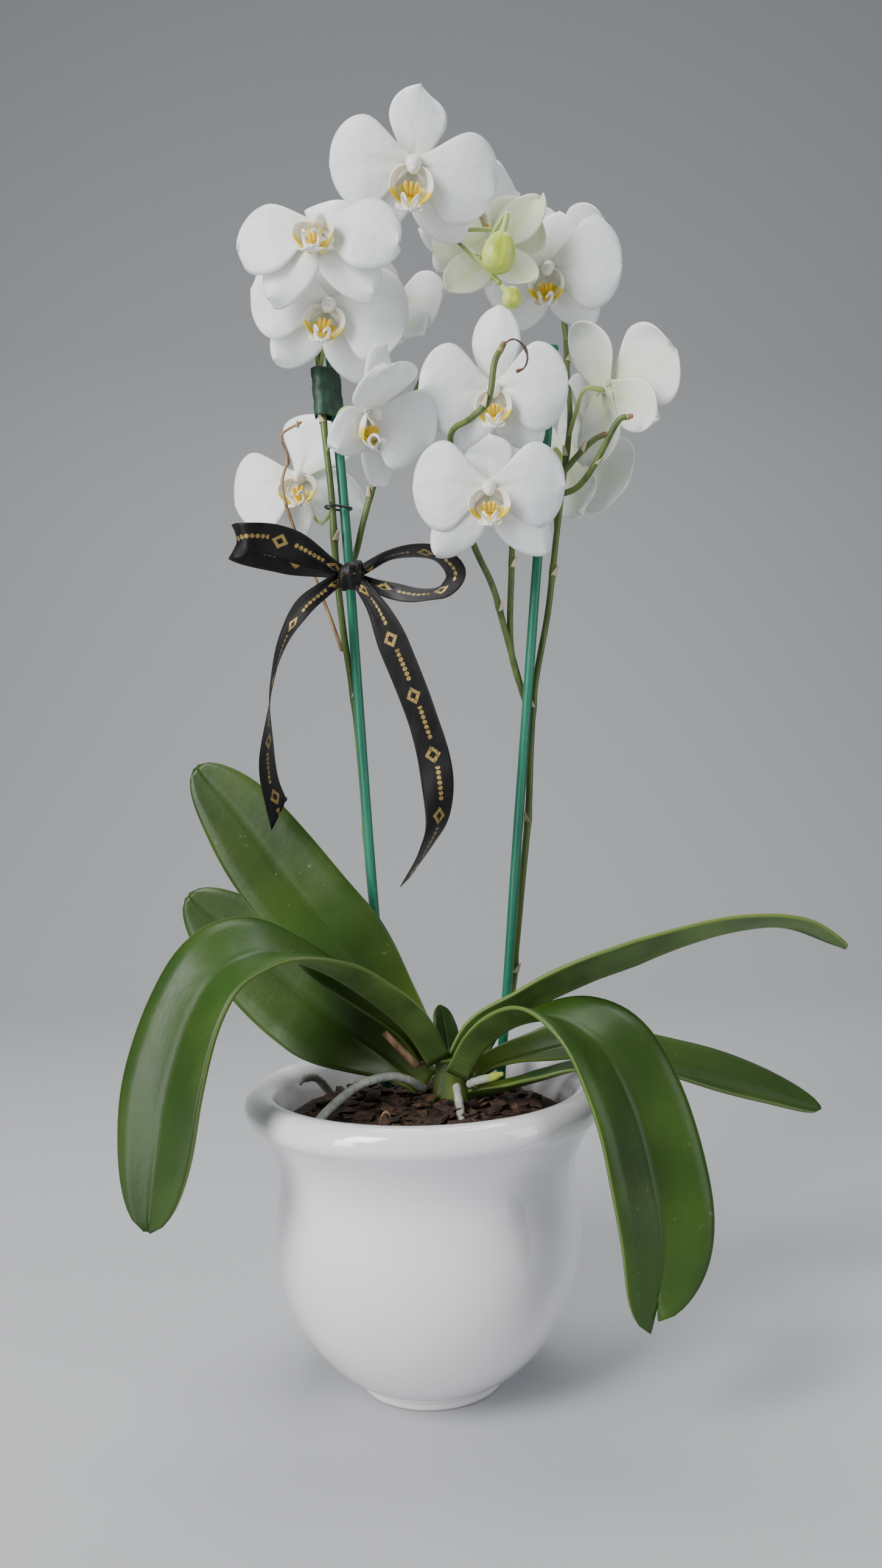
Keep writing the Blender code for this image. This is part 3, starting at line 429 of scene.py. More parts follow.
def makePot():
    outer = wallProfile(0.0)
    lip = lipArc(-55, 90, 18)
    foot = pot["foot"]
    base = [(0.0, 0.0016), (foot - 0.007, 0.0016), (foot - 0.0055, 0.0), (foot - 0.0014, 0.0),
            (foot - 0.0004, 0.0006), (foot, 0.0018), (foot - 0.0003, 0.0031)]
    outside = base + outer + flare(outer[-1], lip[0], 1.9) + lip
    shape = Shape()
    shape.turned(innerProfile()[:-1] + outside[::-1], pot["steps"])
    return addPiece("pot_glazed", shape, [makePotLook()], ["pot"])


makePot()
print("orchid: pot")


# bark

bark = {"depth": 0.0145, "crown": 0.004, "reach": 0.068, "chips": 330, "chip": (0.0078, 0.0046, 0.0022),
        "corners": 14, "spread": 0.0595, "gap": 0.0007, "wave": 0.0016, "wear": 0.00025,
        "browns": ((0.020, 0.011, 0.007), (0.075, 0.036, 0.019), (0.14, 0.078, 0.042)), "seed": 7}


def barkTop(radius):
    return pot["height"] - bark["depth"] + bark["crown"] * (1 - (radius / bark["reach"]) ** 2)


def makeBarkLook():
    look, field = newLook("fineBark", bark["browns"][1], 0.85)
    tint = field.grown()[2]
    fibre = field.noise(60.0, 5.0, field.place((3.0, 3.0, 14.0)))
    grain = field.noise(420.0, 4.0)
    dark, brown, tan = (rgb(*colour) for colour in bark["browns"])
    tone = (fibre.between(0.35, 0.7)).mix(dark, brown)
    tone = (tint.between(0.55, 1.0) * fibre).mix(tone, tan)
    return feed(look, Base_Color=tone, Roughness=0.7 + grain * 0.25,
                Normal=field.bump(fibre + grain * 0.5, 0.0012))


def makeBark():
    random = Random(bark["seed"])
    shape = Shape()
    gap, wave = bark["gap"], bark["wave"]
    inside = [(r, z) for r, z in innerProfile() if z < barkTop(bark["reach"]) - 0.001]
    bed = [(max(r - gap, 0.0), z + (gap if i < 2 else 0.0)) for i, (r, z) in enumerate(inside)]
    rim = bed[-1][0]
    top = [(rim * i / 12, barkTop(rim * i / 12) - wave) for i in range(12)]
    shape.turned(top + bed[::-1], 48)
    for vert in shape.bm.verts:
        if vert.co.z > 0.125 and Vector(vert.co.xy).length < rim * 0.97:
            vert.co.z += wave * noise.noise(vert.co * 160)
    for i in range(bark["chips"]):
        away = sqrt(random.random()) * bark["spread"]
        turn = random.uniform(0, 2 * pi)
        lift = random.uniform(-0.0022, 0.0010)
        at = Vector((away * cos(turn), away * sin(turn), barkTop(away) + lift))
        tilt = Matrix.Rotation(random.uniform(0, 2 * pi), 4, "Z")
        tilt = tilt @ Matrix.Rotation(random.gauss(0, 0.35), 4, "X")
        tilt = tilt @ Matrix.Rotation(random.gauss(0, 0.25), 4, "Y")
        big = random.uniform(0.45, 1.15)
        shade = random.random()
        made = []
        for _ in range(bark["corners"]):
            spot = Vector((random.gauss(0, 1), random.gauss(0, 1), random.gauss(0, 1))).normalized()
            spot *= random.uniform(0.75, 1.0)
            spot = Vector(spot[axis] * bark["chip"][axis] * big for axis in range(3))
            made.append(shape.point(Matrix.Translation(at) @ tilt @ spot, (spot.x, spot.y, shade)))
        hull = bmesh.ops.convex_hull(shape.bm, input=made, use_existing_faces=False)
        spare = [item for item in hull["geom_interior"] + hull["geom_unused"]
                 if isinstance(item, bmesh.types.BMVert)]
        bmesh.ops.delete(shape.bm, geom=list(set(spare)), context="VERTS")
    piece = addPiece("bark_chips", shape, [makeBarkLook()], ["bark_mix"])
    edge = piece.modifiers.new("worn", "BEVEL")
    edge.width = bark["wear"]
    edge.segments = 1
    edge.limit_method = "ANGLE"
    edge.angle_limit = radians(25)


makeBark()
print("orchid: bark")


# leaves

# each leaf's shade sets how much lighter green its top gets: partly the leaf's own tone, partly painted light
# matching how brightly that leaf is lit
leaves = {
    "leaf_left_arching": dict(
        spine=[(0.003, 0.0005, 0.152), (-0.008, -0.006, 0.171), (-0.026, -0.014, 0.189),
               (-0.047, -0.024, 0.2045), (-0.071, -0.038, 0.2145), (-0.089, -0.050, 0.209),
               (-0.101, -0.060, 0.191), (-0.110, -0.068, 0.162), (-0.115, -0.073, 0.132),
               (-0.119, -0.076, 0.1015)],
        across=[(0.5, -0.8, 0.35), (0.45, -0.75, -0.35), (0.9, -0.35, -0.1)],
        half=0.0260, fold=(0.50, 0.22), blunt=0.36, shade=0.40),
    "leaf_left_upright": dict(
        spine=[(0.0005, 0.0105, 0.1515), (-0.010, 0.0125, 0.172), (-0.028, 0.0135, 0.196),
               (-0.051, 0.016, 0.223), (-0.076, 0.021, 0.254), (-0.096, 0.026, 0.281),
               (-0.1165, 0.030, 0.304)],
        across=[(-0.6, -0.5, -0.55), (-0.72, -0.12, -0.6), (-0.75, -0.05, -0.6)],
        half=0.0235, fold=(0.40, 0.10), blunt=0.42, shade=0.5),
    "leaf_left_back": dict(
        spine=[(-0.001, 0.0085, 0.1385), (-0.014, 0.0140, 0.1480), (-0.038, 0.0225, 0.165),
               (-0.068, 0.0300, 0.188), (-0.096, 0.036, 0.212), (-0.1245, 0.040, 0.236)],
        across=[(-0.4, -0.62, -0.6), (-0.55, -0.12, -0.75), (-0.6, 0.0, -0.7)],
        half=0.0270, fold=(0.35, 0.12), blunt=0.52, shade=0.7),
    "leaf_young": dict(
        spine=[(0.0120, 0.0095, 0.1485), (0.0112, 0.014, 0.158), (0.0098, 0.0175, 0.168),
               (0.0078, 0.0205, 0.178)],
        across=[(-0.8, -0.45, 0.1), (-0.8, -0.45, 0.0), (-0.8, -0.45, 0.0)],
        half=0.0065, fold=(0.5, 0.3), blunt=0.5, shade=0.3),
    "leaf_right_arching": dict(
        spine=[(0.0185, 0.004, 0.1525), (0.029, 0.001, 0.168), (0.053, -0.004, 0.1805),
               (0.084, -0.006, 0.194), (0.121, -0.007, 0.2075), (0.154, -0.008, 0.2165),
               (0.183, -0.009, 0.2175), (0.2075, -0.010, 0.2065)],
        across=[(-0.1, -0.9, 0.45), (-0.1, -0.9, 0.42), (0.05, -0.95, 0.1)],
        half=0.0225, fold=(0.45, 0.12), blunt=0.4, shade=1.7),
    "leaf_right_drooping": dict(
        spine=[(0.0195, -0.0015, 0.1455), (0.030, -0.011, 0.1635), (0.045, -0.0235, 0.1765),
               (0.063, -0.038, 0.1805), (0.080, -0.053, 0.171), (0.092, -0.064, 0.148),
               (0.099, -0.071, 0.120), (0.102, -0.076, 0.090), (0.096, -0.078, 0.0535)],
        across=[(-0.6, -0.75, 0.1), (-0.85, -0.5, -0.05), (-0.97, -0.2, 0.0)],
        half=0.0245, fold=(0.45, 0.26), blunt=0.34, shade=0.45, notch=0.05),
    "leaf_right_back": dict(
        spine=[(0.0245, 0.0095, 0.1415), (0.036, 0.0115, 0.148), (0.054, 0.016, 0.152),
               (0.080, 0.023, 0.1545), (0.108, 0.031, 0.148), (0.140, 0.038, 0.138),
               (0.174, 0.041, 0.128), (0.2085, 0.040, 0.115)],
        across=[(0.1, -0.85, -0.4), (0.15, -0.9, -0.35), (0.1, -0.85, -0.45)],
        half=0.0200, fold=(0.4, 0.18), blunt=0.4, shade=0.55),
    "leaf_right_low": dict(
        spine=[(0.0235, 0.0030, 0.1355), (0.036, -0.002, 0.1395), (0.056, -0.009, 0.1465),
               (0.076, -0.015, 0.1525), (0.096, -0.019, 0.151), (0.114, -0.022, 0.142),
               (0.126, -0.024, 0.129)],
        across=[(-0.2, -0.9, 0.1), (-0.25, -0.9, 0.05), (-0.2, -0.95, 0.0)],
        half=0.0150, fold=(0.25, 0.1), blunt=0.45, shade=0.2),
}
leafBlade = {"rows": 64, "columns": 20, "thickness": 0.0017, "ripple": 0.0010,
             "dark": (0.008, 0.030, 0.005), "green": (0.020, 0.066, 0.009), "light": (0.110, 0.175, 0.014),
             "under": (0.110, 0.19, 0.040)}


def leafFrames(leaf, rows):
    path = smoothPath(leaf["spine"], rows + 1)
    vectors = [Vector(v).normalized() for v in leaf["across"]]
    frames = []
    for i in range(rows + 1):
        t = i / rows
        if t < 0.5:
            side = vectors[0].lerp(vectors[1], t * 2)
        else:
            side = vectors[1].lerp(vectors[2], t * 2 - 1)
        ahead = (path[min(i + 1, rows)] - path[max(i - 1, 0)]).normalized()
        side = (side - ahead * side.dot(ahead)).normalized()
        frames.append((path[i], side, side.cross(ahead)))
    if frames[rows // 2][2].z < 0:
        frames = [(at, side, -up) for at, side, up in frames]
    return frames


def leafPlace(leaf, frames, seed):
    last = len(frames) - 1
    blunt = leaf["blunt"]
    deep, shallow = leaf["fold"]
    notch = leaf.get("notch", 0.0)

    def place(s, v):
        t = s - notch * ease(0.80, 1.0, s) * (1 - abs(v)) ** 1.5
        if v < 0:
            t -= notch * 0.5 * ease(0.80, 1.0, s)
        spot = t * last
        i = min(int(spot), last - 1)
        at, side, up = (a.lerp(b, spot - i) for a, b in zip(frames[i], frames[i + 1]))
        end = max(0.0, (s - (1 - blunt)) / blunt)
        width = leaf["half"] * (0.30 + 0.70 * ease(0.0, 0.42, s))
        width *= max(sqrt(max(1 - end ** 2.2, 0.0)), 0.06)
        fold = (deep + (shallow - deep) * s) * (abs(v) ** 1.35)
        fold += 0.5 * (1 - ease(0.0, 0.22, s)) * abs(v)           # the base folds into a channel
        curl = -0.10 * ease(0.75, 1.0, abs(v)) * ease(0.15, 0.4, s)
        groove = -0.0011 * exp(-(v / 0.055) ** 2) * (1 - 0.6 * s)
        wave = leafBlade["ripple"] * abs(v) ** 2 * noise.noise(Vector((s * 5, v, seed)))
        return at + side * (v * width) + up * ((fold + curl) * width + groove + wave)

    return place


def makeLeafLook(name, shade, seed):
    look, field = newLook(name, leafBlade["green"], 0.40, Coat_Weight=0.06, Coat_Roughness=0.22,
                          Specular_IOR_Level=0.28,
                          Subsurface_Weight=0.04, Subsurface_Radius=(0.2, 0.5, 0.1), Subsurface_Scale=0.002)
    along, across, _ = field.grown()
    dark, green, light = (rgb(*leafBlade[key]) for key in ("dark", "green", "light"))
    cloud = field.noise(28.0, 4.0)
    patch = field.noise(9.0 + seed, 2.0)
    tone = (patch.between(0.30, 0.72)).mix(dark, green)
    # lighter green mixed in by the leaf's shade value: partly the leaf's own tone, partly painted light that
    # lifts leaves seen in shade
    tone = (cloud.between(0.35, 0.75) * 0.35 * shade + 0.25 * shade).mix(tone, light)
    veins = (across * 62.0 + cloud * 2.0).sin() * 0.5 + 0.5
    tone = (veins * 0.05).mix(tone, dark)
    young = 1 - along.between(0.0, 0.30)
    tone = (young * 0.65).mix(tone, rgb(0.16, 0.23, 0.03))
    # painted shade: the midrib groove is darkened in the colour
    middle = 1 - abs(across).between(0.0, 0.05)
    tone = (middle * 0.45).mix(tone, rgb(0.02, 0.055, 0.008))
    margin = abs(across).between(0.975, 1.0)
    tone = (margin * 0.35).mix(tone, rgb(0.24, 0.32, 0.09))
    dust = field.noise(260.0, 3.0, rough=0.7).between(0.66, 0.74) * cloud.between(0.45, 0.6)
    tone = (dust * 0.30).mix(tone, rgb(0.36, 0.42, 0.30))
    cells = field.noise(1500.0, 2.0)
    return feed(look, Base_Color=tone, Roughness=0.33 + cloud * 0.18 + dust * 0.2,
                Normal=field.bump(veins * 0.12 + cells * 0.5, 0.00007, field.bump(cloud, 0.0012)))


def makeUnderLook():
    look, field = newLook("leafUnder", leafBlade["under"], 0.5)
    across = field.grown()[1]
    cloud = field.noise(40.0, 4.0)
    tone = cloud.between(0.3, 0.7).mix(rgb(0.05, 0.10, 0.02), rgb(*leafBlade["under"]))
    ridge = 1 - abs(across).between(0.0, 0.09)
    tone = (ridge * 0.5).mix(tone, rgb(0.16, 0.22, 0.06))
    veins = (across * 60.0).sin() * 0.5 + 0.5
    return feed(look, Base_Color=tone, Roughness=0.42 + cloud * 0.2, Normal=field.bump(veins + cloud, 0.0001))


def makeLeaves():
    under = makeUnderLook()
    for seed, (name, leaf) in enumerate(leaves.items()):
        top = makeLeafLook(name + "_green", leaf["shade"], seed)
        shape = Shape()
        rows = leafBlade["rows"] if leaf["half"] > 0.01 else 24
        frames = leafFrames(leaf, rows)
        shape.sheet(rows, leafBlade["columns"], leafPlace(leaf, frames, seed * 3.1))
        face = shape.bm.faces[:][0]
        shape.bm.normal_update()
        if face.normal.dot(frames[0][2]) < 0:
            bmesh.ops.reverse_faces(shape.bm, faces=shape.bm.faces)
        addPiece(name + "_blade", shape, [top, under], [name], leafBlade["thickness"], 1)


makeLeaves()
print("orchid: leaves")


# crown, roots and the dry sheath

crown = {"at": Vector((0.0125, 0.008, 0.1345)), "radius": 0.0095, "sunk": 0.022, "tall": 0.040,
         "green": (0.13, 0.20, 0.022)}
roots = {
    "aerial_root_arching": [(-0.0005, -0.0005, 0.141), (-0.009, -0.009, 0.148), (-0.021, -0.014, 0.150),
                            (-0.034, -0.020, 0.146), (-0.046, -0.027, 0.138), (-0.054, -0.032, 0.128),
                            (-0.057, -0.034, 0.119)],
    "aerial_root_front": [(0.0155, -0.0065, 0.1425), (0.016, -0.012, 0.1405), (0.0168, -0.021, 0.134),
                          (0.0175, -0.027, 0.124), (0.018, -0.029, 0.114)],
    "aerial_root_tip": [(0.0220, -0.0035, 0.1430), (0.026, -0.0075, 0.1455), (0.032, -0.0110, 0.1475),
                        (0.038, -0.0135, 0.1500)],
    "aerial_root_left": [(-0.042, 0.040, 0.118), (-0.050, 0.035, 0.131), (-0.057, 0.027, 0.1405),
                         (-0.062, 0.017, 0.1435), (-0.063, 0.0105, 0.1425)],
}
root = {"radius": 0.0022, "wander": 0.0007, "seed": 4, "silver": (0.30, 0.31, 0.28),
        "pale": (0.48, 0.49, 0.45), "green": (0.10, 0.13, 0.05)}
sheath = {"at": (-0.0205, -0.0425, 0.1345), "width": 0.0050, "height": 0.0105}
stub = {"spine": [(-0.0040, -0.0030, 0.1530), (-0.0110, -0.0055, 0.1610), (-0.0190, -0.0075, 0.1700)],
        "radius": 0.0019, "taper": 0.0002}


def makeCrownLook():
    look, field = newLook("leafBase", crown["green"], 0.42, Coat_Weight=0.15)
    along = field.grown()[0]
    cloud = field.noise(90.0, 4.0, field.place((1, 1, 0.35)))
    tone = cloud.between(0.3, 0.75).mix(rgb(0.055, 0.095, 0.012), rgb(0.20, 0.27, 0.045))
    low = 1 - along.between(0.15, 0.5)
    tone = (low * 0.6).mix(tone, rgb(0.10, 0.065, 0.03))
    return feed(look, Base_Color=tone, Roughness=0.35 + cloud * 0.25, Normal=field.bump(cloud, 0.0008))


def makeCrown():
    shape = Shape()
    steps, rows = 40, 20
    middle, radius = crown["at"], crown["radius"]

    def place(s, v):
        turn = pi * v
        wide = (1.0 - 0.35 * ease(0.0, 1.0, s)) * (0.9 + 0.1 * sin(pi * s))
        pleat = 1 + 0.07 * sin(turn * 2 + s * 2.2) + 0.04 * sin(turn * 5 + s * 4)
        flat = Vector((cos(turn) * 1.18, sin(turn) * 0.86)) * radius * wide * pleat
        return Vector((middle.x + flat.x, middle.y + flat.y, middle.z - crown["sunk"] + crown["tall"] * s))

    shape.sheet(rows, steps, place)
    bmesh.ops.remove_doubles(shape.bm, verts=shape.bm.verts, dist=1e-5)
    rims = [edge for edge in shape.bm.edges if edge.is_boundary]
    bmesh.ops.edgeloop_fill(shape.bm, edges=rims)
    bmesh.ops.recalc_face_normals(shape.bm, faces=shape.bm.faces)
    addPiece("crown_sheaths", shape, [makeCrownLook()], ["crown"])


def makeRootLook():
    look, field = newLook("silverRoot", root["silver"], 0.75)
    along, _, tint = field.grown()
    fleck = field.noise(520.0, 4.0, rough=0.65)
    cloud = field.noise(120.0, 3.0)
    tone = cloud.between(0.3, 0.7).mix(rgb(*root["silver"]), rgb(*root["pale"]))
    tone = (fleck.between(0.52, 0.66) * 0.55).mix(tone, rgb(*root["green"]))
    tone = (tint * along.between(0.55, 0.75)).mix(tone, rgb(0.34, 0.44, 0.05))
    return feed(look, Base_Color=tone, Roughness=0.62 + fleck * 0.25,
                Normal=field.bump(fleck + cloud, 0.00045))


def makeRoots():
    look = makeRootLook()
    noise.seed_set(root["seed"])
    for number, (name, points) in enumerate(roots.items()):
        path = smoothPath(points, 44)
        for i, at in enumerate(path):
            path[i] = at + root["wander"] * noise.noise_vector(at * 70)
        tip = name in ("aerial_root_tip", "aerial_root_left")

        def radiusAt(s):
            slim = 1 - (0.45 * ease(0.8, 1.0, s) if tip else 0.0)
            return root["radius"] * slim * (1 + 0.10 * noise.noise(Vector((s * 9, number, 0))))

        shape = Shape()
        shape.tube(path, radiusAt, 16, 1.0 if name == "aerial_root_tip" else 0.0, flat=0.86)
        addPiece(name + "_skin", shape, [look], [name])


def makeDryLook(name, dark, pale):
    look, field = newLook(name, pale, 0.8)
    streak = field.noise(220.0, 4.0, field.place((1, 1, 0.25)))
    tone = streak.between(0.3, 0.7).mix(rgb(*dark), rgb(*pale))
    return feed(look, Base_Color=tone, Roughness=0.6 + streak * 0.3, Normal=field.bump(streak, 0.0005))


def makeSheath(look):
    shape = Shape()
    at = Vector(sheath["at"])

    def place(s, v):
        curl = 2.4 * s
        reach = sheath["height"] * (0.75 - 0.25 * s)
        half = sheath["width"] * (1 - 0.75 * s) * 0.6
        arc = Vector((reach * (1 - cos(curl)) * 0.55, v * half, reach * sin(curl)))
        return at + arc + Vector((0.0, 0.0012 * v * v, 0.0))

    shape.sheet(18, 6, place)
    addPiece("dry_sheath", shape, [look], (), 0.0003)


dryLook = makeDryLook("dryHusk", (0.15, 0.075, 0.035), (0.50, 0.33, 0.18))
makeCrown()
makeRoots()
makeSheath(dryLook)
stubShape = Shape()
stubShape.tube(smoothPath(stub["spine"], 16), lambda s: stub["radius"] - stub["taper"] * s, 14)
addPiece("old_spike_cut", stubShape, [dryLook], ["old_spike_stub"])
print("orchid: crown and roots")


# stakes, stems, stalks and buds

stakes = {
    "stake_left": [(-0.018, 0.040, 0.030), (-0.021, 0.036, 0.131), (-0.0235, 0.031, 0.200),
                   (-0.0265, 0.0250, 0.262), (-0.030, 0.0175, 0.345), (-0.0335, 0.0125, 0.425),
                   (-0.039, 0.010, 0.511)],
    "stake_right": [(0.032, 0.036, 0.030), (0.0385, 0.032, 0.131), (0.044, 0.0285, 0.190),
                    (0.0495, 0.0240, 0.252), (0.057, 0.0190, 0.331), (0.0635, 0.0145, 0.400),
                    (0.075, 0.010, 0.513)],
}
stake = {"radius": 0.0025, "green": (0.012, 0.185, 0.105), "worn": (0.05, 0.26, 0.16)}
stems = {
    "left": [(0.0085, 0.021, 0.141), (-0.004, 0.031, 0.152), (-0.0185, 0.0395, 0.176),
             (-0.0240, 0.0380, 0.205), (-0.0270, 0.0320, 0.245), (-0.0290, 0.0270, 0.290),
             (-0.0320, 0.0225, 0.335), (-0.0365, 0.0170, 0.372), (-0.0390, 0.0110, 0.408),
             (-0.0400, 0.0075, 0.440), (-0.0428, 0.0065, 0.474), (-0.0450, 0.0085, 0.512),
             (-0.0440, 0.0130, 0.545), (-0.0370, 0.0160, 0.572), (-0.0200, 0.0170, 0.592),
             (0.0040, 0.0150, 0.590), (0.0250, 0.0010, 0.566), (0.0375, -0.0200, 0.543),
             (0.0455, -0.0320, 0.5275)],
    "right": [(0.0205, 0.0185, 0.141), (0.0320, 0.0310, 0.152), (0.0450, 0.0370, 0.176),
              (0.0490, 0.0355, 0.205), (0.0530, 0.0325, 0.240), (0.0570, 0.0295, 0.275),
              (0.0590, 0.0265, 0.310), (0.0620, 0.0245, 0.342), (0.0695, 0.0215, 0.380),
              (0.0745, 0.0200, 0.417), (0.0795, 0.0210, 0.450), (0.0840, 0.0250, 0.480),
              (0.0850, 0.0390, 0.508), (0.0862, 0.0520, 0.535), (0.0870, 0.0610, 0.560)],
    "leftCut": [(-0.0385, 0.0130, 0.394), (-0.0360, 0.0205, 0.399), (-0.0300, 0.0225, 0.411),
                (-0.0245, 0.0175, 0.429), (-0.0185, 0.0160, 0.447), (-0.0080, 0.0150, 0.470),
                (0.0070, 0.0160, 0.500)],
    "front": [(0.0605, 0.0258, 0.325), (0.0555, 0.0255, 0.338), (0.0460, 0.0100, 0.370),
              (0.0400, -0.0020, 0.389), (0.0305, -0.0110, 0.409), (0.0240, -0.0180, 0.433),
              (0.0205, -0.0300, 0.456), (0.0300, -0.0440, 0.4595), (0.0380, -0.0500, 0.4660),
              (0.0410, -0.0520, 0.4820), (0.0450, -0.0510, 0.4900)],
    "middle": [(0.0535, 0.0232, 0.344), (0.0500, 0.0190, 0.357), (0.0490, 0.0120, 0.373),
               (0.0500, 0.0040, 0.399), (0.0510, 0.0040, 0.425), (0.0500, 0.0050, 0.452)],
    "cutLong": [(0.0760, 0.0215, 0.440), (0.0850, 0.0105, 0.441), (0.0925, 0.0000, 0.449),
                (0.1030, -0.0100, 0.467), (0.1085, -0.0120, 0.469)],
    "cutShort": [(0.0775, 0.0220, 0.450), (0.0865, 0.0165, 0.459), (0.0945, 0.0140, 0.466),
                 (0.0995, 0.0125, 0.468)],
}
stem = {"radius": 0.0021, "tip": 0.0013, "stalk": 0.00115, "cutEnd": 0.0016, "green": (0.085, 0.135, 0.022),
        "brown": (0.11, 0.085, 0.03), "pale": (0.42, 0.52, 0.16)}
joints = {"left": [0.13, 0.24, 0.36, 0.50, 0.60, 0.68, 0.80, 0.88, 0.95], "leftCut": [0.45],
          "right": [0.15, 0.33, 0.46, 0.62, 0.76, 0.90], "front": [0.30, 0.62, 0.86],
          "middle": [0.55], "cutLong": [0.55], "cutShort": [0.6]}
dryBranch = {"spine": [(-0.0375, 0.0195, 0.362), (-0.0495, 0.0185, 0.397), (-0.0610, 0.0160, 0.427),
                       (-0.0655, 0.0120, 0.446), (-0.0620, 0.0100, 0.460), (-0.0650, 0.0095, 0.471),
                       (-0.0545, 0.0090, 0.4775)],
             "radius": 0.0010, "taper": 0.0004, "lumps": 0.0003,
             "knobs": [(0.62, 0.0022), (0.80, 0.0028), (0.99, 0.0020)]}
tendril = {"spine": [(0.0450, -0.0512, 0.4905), (0.0500, -0.0520, 0.4925), (0.0545, -0.0525, 0.4890),
                     (0.0560, -0.0530, 0.4835), (0.0545, -0.0530, 0.4790), (0.0510, -0.0525, 0.4775)],
           "radius": 0.00042, "swell": 0.00035, "tip": 0.0005}

# where each flower's middle is, how it faces (yaw right, pitch up, roll clockwise), its span, how
# far its petals cup and how wide they are, where its stalk leaves the stem, how green it still is,
# and for single tepals how far they turn, lean back and how much longer they are
flowers = [
    dict(at=(0.0065, -0.028, 0.5882), turn=(0, -27, 8), span=0.082, cup=4, stalk=("left", 0.785), wide=0.84,
         bend={"dorsal": (0, 22, 1.0), "rightPetal": (-11, 0, 1.0), "leftPetal": (8, 0, 1.0)}),
    dict(at=(0.0325, 0.030, 0.5950), turn=(38, -22, -30), span=0.064, cup=10, stalk=("left", 0.830),
         bend={"dorsal": (0, 40, 0.8)}),
    dict(at=(-0.0375, -0.038, 0.5522), turn=(-8, 13, 4), span=0.080, cup=4, stalk=("left", 0.720), wide=0.74,
         via=[(-0.0385, -0.006, 0.5740), (-0.0380, -0.0225, 0.5640), (-0.0375, -0.0265, 0.5560)],
         bend={"dorsal": (0, 28, 1.0), "rightPetal": (-16, 0, 1.0), "leftPetal": (16, 0, 1.0)}),
    dict(at=(-0.0365, -0.014, 0.5262), turn=(0, -10, 13), span=0.076, cup=6, stalk=("left", 0.640),
         bend={"dorsal": (0, 20, 0.9)}),
    dict(at=(-0.0105, 0.034, 0.5465), turn=(162, -10, 6), span=0.064, cup=8, stalk=("left", 0.668),
         bend={"dorsal": (0, 40, 0.8)}),
    dict(at=(-0.0195, -0.024, 0.4710), turn=(50, -16, 8), span=0.070, cup=26, stalk=("left", 0.575),
         bend={"rightPetal": (-10, -18, 0.92), "leftPetal": (-50, -22, 0.85), "rightSepal": (6, 0, 1.12),
               "leftSepal": (10, 0, 0.75)}),
    dict(at=(-0.0584, 0.034, 0.4555), turn=(-8, 6, -6), span=0.076, cup=2, stalk=("left", 0.515),
         via=[(-0.0450, 0.0240, 0.4310), (-0.0500, 0.0415, 0.4340), (-0.0565, 0.0455, 0.4460)],
         bend={"rightPetal": (56, 0, 1.0), "leftPetal": (11, 0, 1.0), "dorsal": (22, 50, 0.9),
               "leftSepal": (10, 15, 0.95), "rightSepal": (22, 10, 0.95)}),
    dict(at=(0.0425, -0.016, 0.4829), turn=(-5, -16, 2), span=0.071, cup=16, stalk=("middle", 0.97),
         bend={"dorsal": (-3, 0, 1.12)}),
    dict(at=(0.0378, -0.034, 0.4305), turn=(-2, -13, 0), span=0.070, cup=4, stalk=("middle", 0.62),
         bend={"dorsal": (0, 32, 0.95), "leftSepal": (-3, -6, 1.16), "rightSepal": (3, -6, 1.16)}),
    dict(at=(0.0772, 0.040, 0.5677), turn=(-16, -20, 6), span=0.076, cup=6, stalk=("right", 0.93),
         bend={"dorsal": (-4, 22, 0.95)}),
    dict(at=(0.0455, 0.015, 0.5680), turn=(-175, -4, -18), span=0.064, cup=2, stalk=("left", 0.900),
         green=0.9, bend={"dorsal": (28, 0, 1.12), "leftSepal": (-19, 0, 0.95), "rightSepal": (-16, 0, 1.2),
               "leftPetal": (-60, 0, 0.9)}),
    dict(at=(0.0870, 0.074, 0.5940), turn=(160, 10, 30), span=0.055, cup=8, stalk=("right", 0.99)),
    dict(at=(0.0995, 0.006, 0.4890), turn=(132, 12, 14), span=0.076, cup=20, stalk=("right", 0.78),
         green=0.25),
    dict(at=(0.0832, 0.046, 0.4639), turn=(152, -12, -20), span=0.078, cup=6, stalk=("right", 0.665),
         green=0.2),
]
buds = {
    "bud_large": dict(at=(0.0455, -0.036, 0.5400), size=(0.0078, 0.0072, 0.0098), lean=12,
                      stalk=("left", 0.955)),
    "bud_small": dict(at=(0.0508, -0.0350, 0.5190), size=(0.0046, 0.0044, 0.0052), lean=0,
                      stalk=("left", 0.985)),
}


def facing(turn):
    yaw, pitch, roll = (radians(angle) for angle in turn)
    return (Matrix.Rotation(yaw, 4, "Z") @ Matrix.Rotation(pi / 2 - pitch, 4, "X")
            @ Matrix.Rotation(-roll, 4, "Z"))


def makeStakeLook():
    look, field = newLook("greenStake", stake["green"], 0.38, Coat_Weight=0.1)
    streak = field.noise(160.0, 4.0, field.place((1, 1, 0.06)))
    scuff = field.noise(300.0, 3.0).between(0.62, 0.72)
    tone = streak.between(0.35, 0.7).mix(rgb(0.007, 0.125, 0.072), rgb(*stake["green"]))
    tone = (scuff * 0.35).mix(tone, rgb(*stake["worn"]))
    return feed(look, Base_Color=tone, Roughness=0.3 + streak * 0.25, Normal=field.bump(streak, 0.0005))


